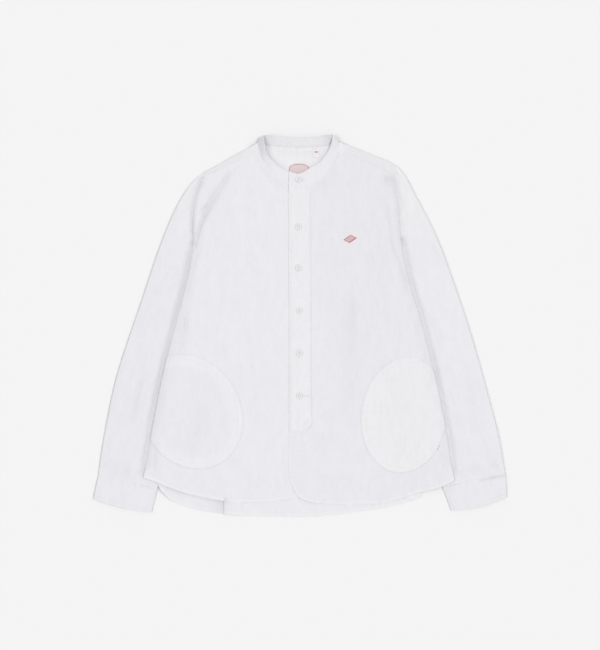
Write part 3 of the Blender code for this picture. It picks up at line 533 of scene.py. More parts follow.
def ring(centre_x, centre_y, long_radius, high_radius, turn, inset=0.0, steps=72):
    """A closed oval line, set in from the pocket's edge."""
    angle = np.linspace(0.0, 2.0 * math.pi, steps + 1)
    x = (long_radius - inset) * np.cos(angle)
    y = (high_radius - inset) * np.sin(angle)
    tilt = math.radians(turn)
    return np.column_stack((centre_x + x * math.cos(tilt) - y * math.sin(tilt),
                            centre_y + x * math.sin(tilt) + y * math.cos(tilt)))


print("cut lines:", {side: len(lines) for side, lines in LINE.items()})

# %% [markdown]
# The fronts were smoothed by hand before the shirt was left to lie, so only soft creases stay:
# a pull from each shoulder to the armpit, a few long ridges down the body, and dents beside the
# pockets. Each row of the table is one crease, a trough where its height is below 0.

# %% Creases of the fronts
# x, y of start, middle and end, then half width and height
FRONT_CREASES = (
    (-0.205, 0.028, -0.2025, 0.000, -0.200, -0.034, 0.0050, -0.0012),
    (0.090, 0.062, 0.091, 0.020, 0.092, -0.024, 0.0055, -0.0010),
    (-0.113, 0.281, -0.148, 0.230, -0.172, 0.186, 0.0048, -0.0036),
    (-0.150, 0.228, -0.172, 0.180, -0.187, 0.128, 0.0038, -0.0040),
    (-0.112, 0.262, -0.144, 0.212, -0.168, 0.160, 0.0100, 0.0012),
    (-0.150, 0.250, -0.172, 0.206, -0.180, 0.176, 0.0050, 0.0008),
    (-0.158, 0.214, -0.168, 0.205, -0.180, 0.199, 0.0026, -0.0022),
    (-0.142, 0.270, -0.152, 0.274, -0.166, 0.262, 0.0032, -0.0013),
    (-0.094, 0.246, -0.112, 0.222, -0.122, 0.190, 0.0080, 0.0007),
    (-0.201, 0.020, -0.208, -0.018, -0.213, -0.052, 0.0080, -0.0014),
    (-0.186, -0.082, -0.200, -0.128, -0.212, -0.196, 0.0080, 0.0016),
    (-0.168, -0.120, -0.174, -0.170, -0.180, -0.232, 0.0120, -0.0012),
    (-0.252, -0.196, -0.255, -0.228, -0.258, -0.258, 0.0070, -0.0014),
    (-0.132, -0.080, -0.136, -0.140, -0.140, -0.210, 0.0100, 0.0008),
    (-0.088, 0.120, -0.093, -0.010, -0.086, -0.140, 0.0140, -0.0009),
    (-0.058, 0.060, -0.060, -0.060, -0.054, -0.180, 0.0120, 0.0009),
    (-0.148, 0.070, -0.156, 0.000, -0.160, -0.060, 0.0110, 0.0009),
    (-0.120, 0.010, -0.124, -0.040, -0.122, -0.090, 0.0070, -0.0007),
    (-0.040, -0.130, -0.038, -0.200, -0.036, -0.270, 0.0080, 0.0007),
    (-0.176, 0.118, -0.183, 0.090, -0.190, 0.050, 0.0060, 0.0010),
    (0.148, 0.222, 0.156, 0.184, 0.162, 0.148, 0.0028, -0.0016),
    (0.156, 0.166, 0.163, 0.142, 0.176, 0.108, 0.0026, -0.0018),
    (0.140, 0.262, 0.156, 0.256, 0.168, 0.242, 0.0065, -0.0016),
    (0.146, 0.266, 0.148, 0.258, 0.153, 0.250, 0.0024, -0.0010),
    (0.146, 0.196, 0.155, 0.172, 0.160, 0.148, 0.0070, 0.0010),
    (0.173, 0.124, 0.180, 0.093, 0.195, 0.050, 0.0040, -0.0013),
    (0.152, 0.128, 0.162, 0.098, 0.170, 0.064, 0.0080, 0.0008),
    (0.086, 0.110, 0.090, -0.030, 0.084, -0.190, 0.0150, -0.0014),
    (0.060, 0.090, 0.058, -0.050, 0.062, -0.170, 0.0130, 0.0010),
    (0.118, 0.060, 0.122, -0.010, 0.116, -0.080, 0.0110, 0.0010),
    (0.150, 0.010, 0.160, -0.040, 0.166, -0.080, 0.0090, -0.0008),
    (0.040, -0.160, 0.042, -0.220, 0.040, -0.280, 0.0080, 0.0006),
    (0.196, -0.110, 0.206, -0.160, 0.212, -0.214, 0.0100, -0.0009),
    (0.236, -0.200, 0.246, -0.224, 0.252, -0.250, 0.0080, -0.0012),
    (0.080, 0.236, 0.098, 0.214, 0.110, 0.190, 0.0090, 0.0007),
    (0.046, 0.232, 0.058, 0.206, 0.066, 0.180, 0.0090, -0.0006),
    (-0.044, 0.232, -0.052, 0.206, -0.056, 0.176, 0.0090, -0.0006),
)

# small waves of the sewn strip
PLACKET_CREASES = (
    (-0.016, 0.214, 0.000, 0.216, 0.017, 0.212, 0.0022, 0.0004),
    (-0.014, 0.196, 0.002, 0.193, 0.016, 0.195, 0.0020, -0.0004),
    (-0.015, 0.148, 0.001, 0.150, 0.016, 0.147, 0.0024, 0.0004),
    (-0.014, 0.126, 0.000, 0.124, 0.014, 0.127, 0.0020, -0.0004),
    (-0.015, 0.076, 0.002, 0.077, 0.017, 0.073, 0.0024, 0.0004),
    (-0.013, 0.052, 0.001, 0.050, 0.015, 0.053, 0.0020, -0.0004),
    (-0.015, 0.000, 0.001, 0.002, 0.017, -0.002, 0.0024, 0.0004),
    (-0.014, -0.022, 0.002, -0.024, 0.016, -0.021, 0.0020, -0.0004),
    (-0.015, -0.074, 0.000, -0.072, 0.016, -0.076, 0.0024, 0.0004),
    (-0.014, -0.097, 0.001, -0.099, 0.016, -0.095, 0.0020, -0.0004),
    (-0.014, -0.146, 0.001, -0.148, 0.015, -0.144, 0.0022, 0.0004),
)

print("creases of the fronts:", len(FRONT_CREASES), "and of the placket:", len(PLACKET_CREASES))

# %% [markdown]
# Where the body is sewn it isn't flat: the armhole seam sinks in, the cloth draws up in small
# waves between the stitches of a seam, a line of stitches presses the hem down, and the side
# edges roll over towards the back.

# %% Seams, hems and side edges of the body
SIDE_PUFF = 0.0020        # how much fuller the body stands a little inside its side edges
SIDE_ROLL = {"left": 0.0036, "right": 0.0040}    # how far the cloth rolls down towards those edges
ROLL_WIDTH = 0.024
ARMHOLE_DIP = {"left": 0.0026, "right": 0.0038}
ARMHOLE_WIDTH = {"left": 0.0042, "right": 0.0036}
SEAM_DIP = 0.0006
SEAM_DIP_WIDTH = 0.0030
HEM_WIDTH = 0.0055
HEM_DIP = 0.00035
STITCH_DIP_WIDTH = 0.0016
# a seam's waves: pitch, height and where they start
ARMHOLE_WAVES = ((0.019, 0.00025, 0.1), (0.012, 0.00015, 0.6))
HEM_WAVES = ((0.023, 0.00022, 0.3), (0.0137, 0.00014, 0.8))
ARMHOLE_LENGTH = 0.14
HEM_LENGTH = 0.30


def waves(along, length, sizes):
    """Small uneven waves down a seam, as the sewn cloth draws up between stitches."""
    total = np.zeros(len(along))
    for pitch, height, start in sizes:
        total += height * np.sin(2.0 * math.pi * (along * length / pitch + start))
    return total


def armhole_dip(points, gap, side):
    """The valley along an armhole seam, which runs out below the shoulder fold."""
    fade = 1.0 - rising(points[:, 1], 0.252, 0.016)
    return ARMHOLE_DIP[side] * fade * valley(gap, ARMHOLE_WIDTH[side])


def body_relief(points):
    """Rise of the outer cloth of the body above the solid's surface, in plan."""
    rise = creases(points, FRONT_CREASES)
    for side, lines in LINE.items():
        mine = on_side(points, side)
        edge = gap_from(points, lines["side"])
        above_hem = rising(points[:, 1], -0.275, 0.04)
        puff = rising(edge, 0.006, 0.020) * (1.0 - rising(edge, 0.030, 0.055))
        rise += SIDE_PUFF * puff * mine * above_hem
        rolled = np.clip(1.0 - edge / ROLL_WIDTH, 0.0, 1.0) ** 1.8 * rising(points[:, 2], 0.0052, 0.0020)
        rise -= SIDE_ROLL[side] * rolled * mine * above_hem * (1.0 - rising(points[:, 1], 0.135, 0.02))
        for name in ("shoulder", "neck"):
            rise -= SEAM_DIP * bell(gap_from(points, lines[name]), SEAM_DIP_WIDTH) * mine
        gap, along = gap_to(points, lines["armhole"])
        drawn = waves(along, ARMHOLE_LENGTH, ARMHOLE_WAVES)
        rise += (drawn * bell(gap, 0.010) - armhole_dip(points, gap, side)) * mine
        gap, along = gap_to(points, lines["hem"])
        drawn = waves(along, HEM_LENGTH, HEM_WAVES)
        rise += (drawn * (1.0 - soft(gap / 0.016))
                 - HEM_DIP * bell(gap - HEM_WIDTH, STITCH_DIP_WIDTH)) * mine
    return rise


# %% [markdown]
# A deep valley must not push cloth through whatever it lies on. So a point sinks by no more
# than a share of its height above the lowest layer.

# %% Move the points and write their marks
LOWEST_LAYER = 0.0012
SINK_SHARE = 0.6


def sunk(points, rise):
    """The points raised, or lowered by no more than the hollow below them allows."""
    points[:, 2] += np.maximum(rise, -SINK_SHARE * np.maximum(points[:, 2] - LOWEST_LAYER, 0.0))
    return points


def mark(piece, name, values):
    """Writes one number for each point of a piece, which its finish then reads."""
    attribute = piece.data.attributes.new(name, "FLOAT", "POINT")
    attribute.data.foreach_set("value", np.clip(values, 0.0, 1.0))


# %% [markdown]
# Little light reaches the bottom of a fold or the edge where body and sleeve meet. That shade is
# painted into the colour: the painted shade marks hold the share taken off there, and the finish
# is that much greyer.

# %% Painted shade on the body
# painted shade at each edge of the body: share taken off, over what width, and for a side how it fades
SIDE_PAINTED_SHADE = {"left": (0.058, 0.0085, 1.0), "right": (0.100, 0.0070, 1.3)}
ARMHOLE_PAINTED_SHADE = {"left": (0.066, 0.0065), "right": (0.125, 0.0046)}


def armhole_painted_shade(points, side):
    """Painted shade along an armhole seam, which fades out below the shoulder."""
    share, width = ARMHOLE_PAINTED_SHADE[side]
    gap = gap_from(points, LINE[side]["armhole"])
    return share * bell(gap, width) * (1.0 - rising(points[:, 1], 0.246, 0.022))


def body_painted_shade(points):
    """Painted shade on the body: the share of light taken off in its valleys and towards its side edges."""
    lost = crease_painted_shade(points, FRONT_CREASES)
    for side in LINE:
        mine = on_side(points, side)
        gap = gap_from(points, LINE[side]["side"])
        share, width, power = SIDE_PAINTED_SHADE[side]
        ends = (1.0 - rising(points[:, 1], 0.135, 0.02)) * rising(points[:, 1], -0.262, 0.02)
        lost += (share * np.exp(-(gap / width) ** power) * ends + armhole_painted_shade(points, side)) * mine
    # painted shade: a soft grey spot beside the left shoulder, and a left chest painted a touch greyer
    painted_shade_spot = bell(np.hypot((points[:, 0] - 0.160) / 0.016, (points[:, 1] - 0.257) / 0.011), 1.0)
    painted_shade_chest = rising(points[:, 0], 0.02, 0.02) * rising(points[:, 1], 0.06, 0.08)
    return lost + 0.045 * painted_shade_spot + 0.009 * painted_shade_chest


# %% [markdown]
# Pockets and placket lie on the fronts, so all five pieces follow one and the same surface and
# get their creases together.

# %% Shape the fronts, pockets and placket
LAP_EDGE = -0.0206        # the left front's free edge, pressed flat onto the right front
LAP_DROP = {"front_left": 0.0009, "placket": 0.0017}
LAID_ON_BODY = ("front_left", "front_right", "pocket_left", "pocket_right", "placket")
for node in LAID_ON_BODY:
    points = points_of(cloths[node])
    pressed = (1.0 - rising(points[:, 0], LAP_EDGE, 0.008)) * (1.0 - rising(points[:, 1], 0.225, 0.02))
    points = sunk(points, body_relief(points) - LAP_DROP.get(node, 0.0) * pressed)
    set_points(cloths[node], points)
    # painted shade in the valleys and towards the side edges
    mark(cloths[node], "painted_shade", body_painted_shade(points))
    print(node, "highest point:", round(points[:, 2].max() * 1000, 2), "mm")

# %% [markdown]
# The pockets and the placket are patches sewn on top. Their edges are turned under and pressed,
# so an edge sinks into the cloth below and a band about a centimetre wide behind it is thicker.
# That band also looks whiter, as thin linen does wherever more layers of it lie together.

# %% Pressed edges of the patches
RIM_WIDTH = 0.0105        # of the turned edge of a pocket
RIM_RISE = 0.0002
RIM_STITCH_DIP = 0.0003
# how white the middle of each pocket is, and how much whiter its edge is
POCKET_WHITE = {"left": (0.70, 0.25), "right": (0.05, 0.85)}
PLACKET_LINE = line_through(((0.0190, 0.250), (0.0205, -0.100), (0.0200, -0.162), (0.0090, -0.1720),
                             (0.0080, -0.1855), (-0.0200, -0.1855)))
ABOVE_ALL = 0.06          # a height above all cloth
DOWN = Vector((0.0, 0.0, -1.0))


def seen_from_above(cloth, x, y):
    """The place and normal where a ray straight down meets a cloth, or None beside it."""
    hit, spot, normal, face = cloth.ray_cast(Vector((x, y, ABOVE_ALL)), DOWN)
    return (spot, normal) if hit else None


def press_down(points, edge, under, width=0.0036, rest=0.00022):
    """Flattens a patch towards its edge until it lies on the cloth under it."""
    for index in np.flatnonzero(edge < width):
        x, y, z = points[index]
        found = seen_from_above(under, x, y)
        if found:
            floor_z = found[0].z
            share = 1.0 - float(soft(edge[index] / width))
            points[index, 2] += (floor_z + rest - z) * share * (1.0 if z > floor_z else 0.5)


for side in SIDES:
    pocket = cloths["pocket_" + side]
    points = points_of(pocket)
    edge = gap_from(points, ring(*CUT[side]["pocket"]))
    rim = soft(edge / 0.0012) * (1.0 - soft((edge - RIM_WIDTH + 0.0008) / 0.0016))
    points[:, 2] += RIM_RISE * rim - RIM_STITCH_DIP * bell(edge - RIM_WIDTH, 0.0013)
    press_down(points, edge, cloths["front_" + side])
    set_points(pocket, points)
    middle, more = POCKET_WHITE[side]
    mark(pocket, "layers_and_painted_light", middle + more * (1.0 - rising(edge, RIM_WIDTH, 0.018)))

placket = cloths["placket"]
points = points_of(placket)
edge = gap_from(points, PLACKET_LINE)
points[:, 2] += creases(points, PLACKET_CREASES)
# the free edge on the wearer's right is the lap itself and isn't pressed again
press_down(points, edge + 0.01 * (points[:, 0] < -0.012), cloths["front_left"])
set_points(placket, points)
mark(placket, "layers_and_painted_light", 0.35 + 0.35 * soft(edge / 0.008))
print("patches pressed onto the fronts")

# %% [markdown]
# A hem is folded twice and looks whiter too. The left front also has a narrow one up its lower
# centre edge, below the placket. The right front is painted a little whiter all over: painted light.

# %% Whiter hems of the fronts
# painted light: how much whiter each front is painted all over
FRONT_PAINTED_LIGHT = {"left": 0.05, "right": 0.30}
HEM_WHITE = 0.55
HEM_EDGE = 0.0012         # over which the doubled cloth begins
PLACKET_FOOT = -0.18


def turned_edge(gap):
    """1 on a turned hem, given the gap from the cloth's edge."""
    return 1.0 - rising(gap, HEM_WIDTH, HEM_EDGE)


for side in SIDES:
    front = cloths["front_" + side]
    points = points_of(front)
    turned = turned_edge(gap_from(points, LINE[side]["hem"]))
    if side == "left":
        centre = turned_edge(gap_from(points, LINE[side]["centre"]))
        turned = np.maximum(turned, centre * (points[:, 1] < PLACKET_FOOT))
    mark(front, "layers_and_painted_light", FRONT_PAINTED_LIGHT[side] + HEM_WHITE * turned)
    print(front.name, "share of its points on a hem:", round(float((turned > 0.5).mean()), 3))

# %% [markdown]
# A sleeve is a tube pressed flat. Only its upper wall has room to move: it stands a little
# full along the middle, falls beside the body, and is drawn into small tucks above the cuff.

# %% Creases of the sleeves
# x, y of start, middle and end, then half width and height
SLEEVE_CREASES = {
    "right": (
        (-0.264, -0.064, -0.284, -0.116, -0.299, -0.196, 0.0050, -0.0018),
        (-0.254, -0.070, -0.275, -0.122, -0.288, -0.196, 0.0070, 0.0014),
        (-0.240, 0.120, -0.246, 0.080, -0.256, 0.030, 0.0080, 0.0009),
        (-0.222, 0.060, -0.232, 0.010, -0.246, -0.040, 0.0070, -0.0008),
        (-0.300, -0.040, -0.310, -0.090, -0.318, -0.140, 0.0080, 0.0010),
        (-0.206, 0.222, -0.214, 0.196, -0.218, 0.170, 0.0060, 0.0008),
        (-0.268, -0.180, -0.276, -0.215, -0.284, -0.250, 0.0060, 0.0011),
        (-0.298, -0.236, -0.302, -0.254, -0.306, -0.272, 0.0035, -0.0012),
        (-0.318, -0.226, -0.324, -0.248, -0.329, -0.268, 0.0040, -0.0012),
        (-0.334, -0.240, -0.338, -0.254, -0.341, -0.266, 0.0030, -0.0009),
        (-0.280, -0.244, -0.284, -0.262, -0.287, -0.276, 0.0030, -0.0009),
        (-0.308, -0.232, -0.313, -0.252, -0.317, -0.270, 0.0040, 0.0009),
    ),
    "left": (
        (0.292, -0.058, 0.302, -0.126, 0.306, -0.200, 0.0070, -0.0012),
        (0.278, -0.060, 0.289, -0.124, 0.294, -0.190, 0.0080, 0.0011),
        (0.226, 0.156, 0.240, 0.128, 0.251, 0.098, 0.0040, -0.0010),
        (0.234, 0.150, 0.248, 0.122, 0.258, 0.094, 0.0040, 0.0009),
        (0.206, 0.190, 0.214, 0.160, 0.222, 0.128, 0.0080, 0.0010),
        (0.230, 0.060, 0.242, 0.010, 0.258, -0.040, 0.0080, 0.0010),
        (0.218, 0.040, 0.228, 0.000, 0.240, -0.040, 0.0060, -0.0007),
        (0.318, -0.150, 0.328, -0.190, 0.334, -0.226, 0.0070, 0.0010),
        (0.322, -0.214, 0.331, -0.236, 0.339, -0.256, 0.0040, -0.0013),
        (0.336, -0.230, 0.345, -0.246, 0.352, -0.258, 0.0030, -0.0012),
        (0.300, -0.232, 0.305, -0.252, 0.309, -0.270, 0.0035, -0.0010),
        (0.276, -0.240, 0.280, -0.258, 0.284, -0.275, 0.0030, -0.0009),
        (0.310, -0.228, 0.318, -0.250, 0.324, -0.266, 0.0040, 0.0010),
    ),
}
print("creases of the sleeves:", {side: len(rows) for side, rows in SLEEVE_CREASES.items()})

# %% [markdown]
# The crown, the fall beside the body and the seams are added to those creases. All of it fades
# out on the lower wall, which stays flat on the floor.

# %% Shape of a sleeve
SLEEVE_CROWN = 0.0026     # how much fuller the middle stands
SLEEVE_FALL = 0.0012      # how far it falls beside the body
CUFF_SEAM_DIP = 0.0005
CUFF_SEAM_WIDTH = 0.0028
HEAD_WAVES = ((0.017, 0.0003, 0.4), (0.011, 0.0002, 0.1))


def upper_wall(points):
    """1 on a tube's upper wall, 0 on the wall that lies on the floor."""
    return rising(points[:, 2], 0.0016, 0.0012)


def sleeve_relief(points, side):
    """Rise of a sleeve's upper wall above the solid's surface, in plan."""
    lines = LINE[side]
    outer, body, seam = (gap_from(points, lines[name]) for name in ("arm_outer", "side", "cuff_seam"))
    armhole, along_head = gap_to(points, lines["armhole"])
    side_rows = np.array(CUT[side]["side"])[::-1]
    beyond = np.abs(points[:, 0]) - np.abs(np.interp(points[:, 1], side_rows[:, 1], side_rows[:, 0]))
    middle = soft(outer / 0.030) * soft(beyond / 0.013) * soft(seam / 0.030) * soft(armhole / 0.030)
    rise = creases(points, SLEEVE_CREASES[side]) * soft(seam / 0.004) + SLEEVE_CROWN * middle
    rise -= SLEEVE_FALL * bell(body, 0.007) * soft(seam / 0.02)
    # low on the left armhole the front's rim is high, so the sleeve dips less to meet it
    level = 0.75 * bell(points[:, 1] - 0.165, 0.026) if side == "left" else 0.0
    rise -= armhole_dip(points, armhole, side) * (1.0 - level)
    rise += waves(along_head, ARMHOLE_LENGTH, HEAD_WAVES) * bell(armhole, 0.009)
    rise -= CUFF_SEAM_DIP * bell(seam, CUFF_SEAM_WIDTH)
    return rise * upper_wall(points)


# %% [markdown]
# A sleeve is darkest beside the body, where the cloth of the body stands over it, and that shade
# is painted into its colour too. The left sleeve is painted dark in the seam of its cuff as well:
# painted shade.

# %% Painted shade on the sleeves
# painted shade beside the body: share taken off, how far outside its edge, and over what width
SLEEVE_PAINTED_SHADE = {"left": (0.090, 0.0034, 0.0048), "right": (0.135, 0.0024, 0.0048)}


def seam_painted_shade(points, side):
    """Painted shade in the left cuff's seam, darker towards the outer edge of the arm."""
    gap = gap_from(points, LINE[side]["cuff_seam"])
    return 0.11 * (side == "left") * bell(gap, 0.0024) * rising(points[:, 0], 0.314, 0.008)


def sleeve_painted_shade(points, side):
    """Painted shade on a sleeve: the share of light taken off in its valleys and beside the body."""
    gap = gap_from(points, LINE[side]["side"])
    share, beyond, width = SLEEVE_PAINTED_SHADE[side]
    share = share * (1.0 - 0.35 * soft((-0.06 - points[:, 1]) / 0.10))
    lost = share * bell(gap - beyond, width) * rising(points[:, 1], -0.268, 0.02)
    return (lost + armhole_painted_shade(points, side) + crease_painted_shade(points, SLEEVE_CREASES[side])
            + seam_painted_shade(points, side))


print("light lost beside the body:", {side: row[0] for side, row in SLEEVE_PAINTED_SHADE.items()})

# %% [markdown]
# With its relief and its painted shade known, each sleeve is shaped in one go. It is painted
# lighter up the arm towards the shoulder, the left sleeve more than the right: painted light.
# Along the armhole it is whiter still, where more layers of cloth lie together.

# %% Shape the sleeves
# painted light: how much lighter each sleeve is painted near the elbow, growing up the arm
ARM_PAINTED_LIGHT = {"left": 0.38, "right": -0.10}      # how white each sleeve is near the elbow
for side in SIDES:
    sleeve = cloths["sleeve_" + side]
    points = points_of(sleeve)
    points = sunk(points, sleeve_relief(points, side))
    set_points(sleeve, points)
    # painted shade in the valleys, beside the body and along the armhole
    mark(sleeve, "painted_shade", sleeve_painted_shade(points, side))
    painted_light_down_arm = np.clip(ARM_PAINTED_LIGHT[side] + 1.1 * (points[:, 1] + 0.02), 0.0, 0.45)
    mark(sleeve, "layers_and_painted_light", painted_light_down_arm + 0.5 * bell(gap_from(points, LINE[side]["armhole"]), 0.022))
    print(sleeve.name, "highest point:", round(points[:, 2].max() * 1000, 2), "mm")

# %% [markdown]
# A cuff is a doubled band. It stands a little full between its two seams, each pressed in by
# its stitches, and lies flatter towards the inner end where the body covers it.

# %% Shape the cuffs
CUFF_PUFF = 0.0008
CUFF_STITCH_DIP = 0.0003
CUFF_STITCH_LINE = 0.0045               # from the cuff's free edge
CUFF_WAVES = ((0.021, 0.0003, 0.2), (0.012, 0.0002, 0.5))
CUFF_LENGTH = 0.11
CUFF_FALL = 0.0030        # how far a cuff flattens towards its inner end
CUFF_WHITE = 0.10
for side in SIDES:
    cuff = cloths["cuff_" + side]
    points = points_of(cuff)
    seam, along_seam = gap_to(points, LINE[side]["cuff_seam"])
    edge = gap_from(points, LINE[side]["cuff_edge"])
    rise = CUFF_PUFF * soft(seam / 0.012) * soft(edge / 0.012)
    rise -= CUFF_SEAM_DIP * bell(seam, CUFF_SEAM_WIDTH)
    rise -= CUFF_STITCH_DIP * bell(edge - CUFF_STITCH_LINE, 0.0014)
    rise += waves(along_seam, CUFF_LENGTH, CUFF_WAVES) * bell(seam, 0.012)
    inner_end = np.array([min((line[0], line[-1]), key=lambda spot: abs(spot[0]))
                          for line in (LINE[side]["cuff_seam"], LINE[side]["cuff_edge"])])
    rise -= CUFF_FALL * bell(gap_from(points, inner_end), 0.009)
    points = sunk(points, rise * upper_wall(points))
    set_points(cuff, points)
    # painted shade in the left cuff's seam
    mark(cuff, "painted_shade", seam_painted_shade(points, side))
    mark(cuff, "layers_and_painted_light", np.full(len(points), CUFF_WHITE))
    print(cuff.name, "highest point:", round(points[:, 2].max() * 1000, 2), "mm")

# %% [markdown]
# The yoke sinks at its seams. Inside the neck it curves up to the band all round, in a cove, as
# cloth does that is sewn to something standing. The curve needs the inner line of the neck.

# %% Shape the yoke
NECK_COVE = 0.0085        # how far the yoke rises towards the band inside the neck
NECK_COVE_WIDTH = 0.0075
NECK_MIDDLE = (-0.002, 0.318)
YOKE_ARMHOLE_DIP = 0.0008
NECK_INNER = line_through(((-0.0615, 0.3210), (-0.0590, 0.3025), (-0.0465, 0.2880), (-0.0335, 0.2770),
                           (-0.0180, 0.2690), (0.0000, 0.2665), (0.0160, 0.2750), (0.0350, 0.2860),
                           (0.0460, 0.3000), (0.0535, 0.3145), (0.0555, 0.3240)))


def round_neck(spots):
    """Angle and distance of each place, seen from the middle of the neck."""
    offset = spots[:, :2] - NECK_MIDDLE
    return (np.arctan2(offset[:, 1], offset[:, 0]) - math.pi / 2) % (2 * math.pi), np.hypot(*offset.T)


yoke = cloths["yoke"]
points = points_of(yoke)
rise = np.zeros(len(points))
for side in SIDES:
    rise -= SEAM_DIP * bell(gap_from(points, LINE[side]["shoulder"]), SEAM_DIP_WIDTH)
    rise -= YOKE_ARMHOLE_DIP * bell(gap_from(points, LINE[side]["armhole"]), 0.0040)
edge_angle, edge_distance = round_neck(NECK_INNER)
angle, distance = round_neck(points)
inside = np.interp(angle, edge_angle, edge_distance) - distance
cove = np.where(inside > 0.0, np.exp(-np.maximum(inside, 0.0) / NECK_COVE_WIDTH), 1.0 - soft(-inside / 0.006))
points[:, 2] += rise * upper_wall(points)
points[:, 2] += (NECK_COVE * cove * rising(np.abs(points[:, 0]), 0.010, 0.032)
                 * (1.0 - rising(points[:, 1], 0.318, 0.006)))
set_points(yoke, points)
print("yoke's highest point:", round(points[:, 2].max() * 1000, 2), "mm")

# %% [markdown]
# The yoke is painted greyer where it turns up to the band, over the shoulders and along the
# armholes: painted shade. Inside the neck, in the band's shade, it is painted whiter: painted light.

# %% Painted shade and light on the yoke
points = points_of(yoke)
from_middle = np.abs(points[:, 0])
painted_shade_under_band = (0.075 * np.exp(-np.maximum(inside, 0.0) / 0.0055) * (inside > -0.004)
              * rising(from_middle, 0.012, 0.02))
# painted light: whiter inside the neck
mark(yoke, "layers_and_painted_light", 0.55 + 0.45 * soft(inside / 0.004))
# painted shade: over the shoulders, at the foot of the band and along the armholes
mark(yoke, "painted_shade", 0.035 * rising(from_middle, 0.075, 0.02) + painted_shade_under_band
     + armhole_painted_shade(points, "left") * on_side(points, "left")
     + armhole_painted_shade(points, "right") * on_side(points, "right"))
print("yoke points inside the neck:", int((inside > 0.0).sum()))

# %% [markdown]
# The band stands up on its seam. Worn cloth is not as stiff as the solid is, so above the
# height where it leaves the body the band settles, least at the wearer's right.

# %% Shape the collar band
BAND_FOOT = 0.0066        # the height where it leaves the body
BAND_STANDS = (0.68, 0.26)              # share of its height kept, and how much more on the right
band = cloths["collar_band"]
points = points_of(band)
settled = np.minimum(points[:, 2], BAND_FOOT)
stands = BAND_STANDS[0] + BAND_STANDS[1] * rising(-points[:, 0], 0.040, 0.020)
points[:, 2] = settled + (points[:, 2] - settled) * stands
set_points(band, points)
across, up = points[:, 0], points[:, 1]
# painted light: the band's back part is painted whiter
mark(band, "layers_and_painted_light", 0.60 + 0.40 * rising(up, 0.308, 0.006) * (np.abs(across) < 0.058))
# painted shade: the inner corner on the wearer's right, and the turn of the band on the left
mark(band, "painted_shade", 0.085 * soft((-0.054 - across) / 0.014) * rising(up, 0.286, 0.020)
     + 0.060 * bell(across - 0.050, 0.010) * rising(up, 0.310, 0.004))
print("band's highest point:", round(points[:, 2].max() * 1000, 2), "mm")

# %% [markdown]
# Only the tail of the back is seen, below the fronts. It ripples lightly, and where it was
# folded once it steps up. Painted shade darkens it beside that step and under the front's hem.
# Elsewhere the back only has to stay below the valleys of the fronts.

# %% Shape the back and its tail
# x, y of start, middle and end, then half width and height
TAIL_CREASES = (
    (-0.112, -0.300, -0.108, -0.316, -0.104, -0.333, 0.0060, 0.0012),
    (-0.060, -0.304, -0.064, -0.320, -0.066, -0.334, 0.0070, 0.0010),
    (-0.012, -0.300, -0.006, -0.318, -0.002, -0.334, 0.0060, 0.0014),
    (0.030, -0.302, 0.034, -0.318, 0.036, -0.334, 0.0080, 0.0010),
    (0.082, -0.300, 0.086, -0.314, 0.088, -0.328, 0.0060, 0.0012),
    (0.140, -0.296, 0.146, -0.308, 0.150, -0.320, 0.0070, 0.0011),
    (0.190, -0.290, 0.194, -0.300, 0.198, -0.309, 0.0050, 0.0010),
)
BACK_TUCK = 0.0026        # how far the back keeps below the armhole valleys of the fronts
SIDE_FALL = 0.0013        # how far the back falls under the rolled side edges
TAIL_STITCH_DIP = 0.00030
FOLD_STEP = 0.0022        # height of the step at the fold
# painted shade at the step
FOLD_SHADE_FADES = (0.014, 0.0040)            # how its grey fades, on the low and on the high side
back = cloths["back"]
points = points_of(back)
tail_gap = gap_from(points, TAIL)
rise = np.maximum(creases(points, TAIL_CREASES), 0.0)
rise -= TAIL_STITCH_DIP * bell(tail_gap - HEM_WIDTH, STITCH_DIP_WIDTH) * (points[:, 2] > 0.0006)
for side in SIDES:
    edge = gap_from(points, LINE[side]["side"])
    rise -= SIDE_FALL * np.clip(1.0 - edge / 0.014, 0.0, 1.0) * rising(points[:, 2], 0.0026, 0.0015)
    rise -= BACK_TUCK * bell(gap_from(points, LINE[side]["armhole"]), 0.014)
past_fold = points[:, 0] - FOLD_X
rise += (FOLD_STEP * soft(past_fold / 0.0014) * (1.0 - soft(past_fold / 0.040))
         * soft((-0.290 - points[:, 1]) / 0.010))
points = sunk(points, rise)
set_points(back, points)
# painted shade beside the step and under the front's hem
painted_shade_at_fold = np.exp(-np.abs(past_fold) / np.where(past_fold < 0.0, *FOLD_SHADE_FADES))
painted_shade_under_hem = bell(gap_from(points, LINE["right"]["hem"]), 0.0045)
mark(back, "painted_shade", 0.13 * painted_shade_at_fold * soft((-0.292 - points[:, 1]) / 0.012)
     + 0.09 * painted_shade_under_hem * soft((FOLD_X + 0.020 - points[:, 0]) / 0.020))
mark(back, "layers_and_painted_light", 0.45 + 0.5 * turned_edge(tail_gap))
print("back points:", len(points))

# %% [markdown]
# Sewn pieces touch. The solids stay a hair apart, so here the rim of one piece is drawn onto
# its neighbour wherever they are closer than a millimetre.

# %% Close the seams
def draw_to(piece, neighbour, reach=0.0011, whole=0.0006):
    """Moves a rim onto the neighbour's nearest surface."""
    points = points_of(piece)
    low, high = (np.array(c) for c in (points_of(neighbour).min(0), points_of(neighbour).max(0)))
    close = np.flatnonzero(np.all((points > low - reach) & (points < high + reach), axis=1))
    moved = 0
    for index in close:
        found, spot, normal, face = neighbour.closest_point_on_mesh(Vector(points[index]), distance=reach)
        if found:
            gap = np.linalg.norm(np.array(spot) - points[index])
            share = 1.0 - float(soft((gap - whole) / (reach - whole)))
            points[index] += (np.array(spot) - points[index]) * share
            moved += 1
    set_points(piece, points)
    print(piece.name, "drawn to", neighbour.name, ":", moved, "points")


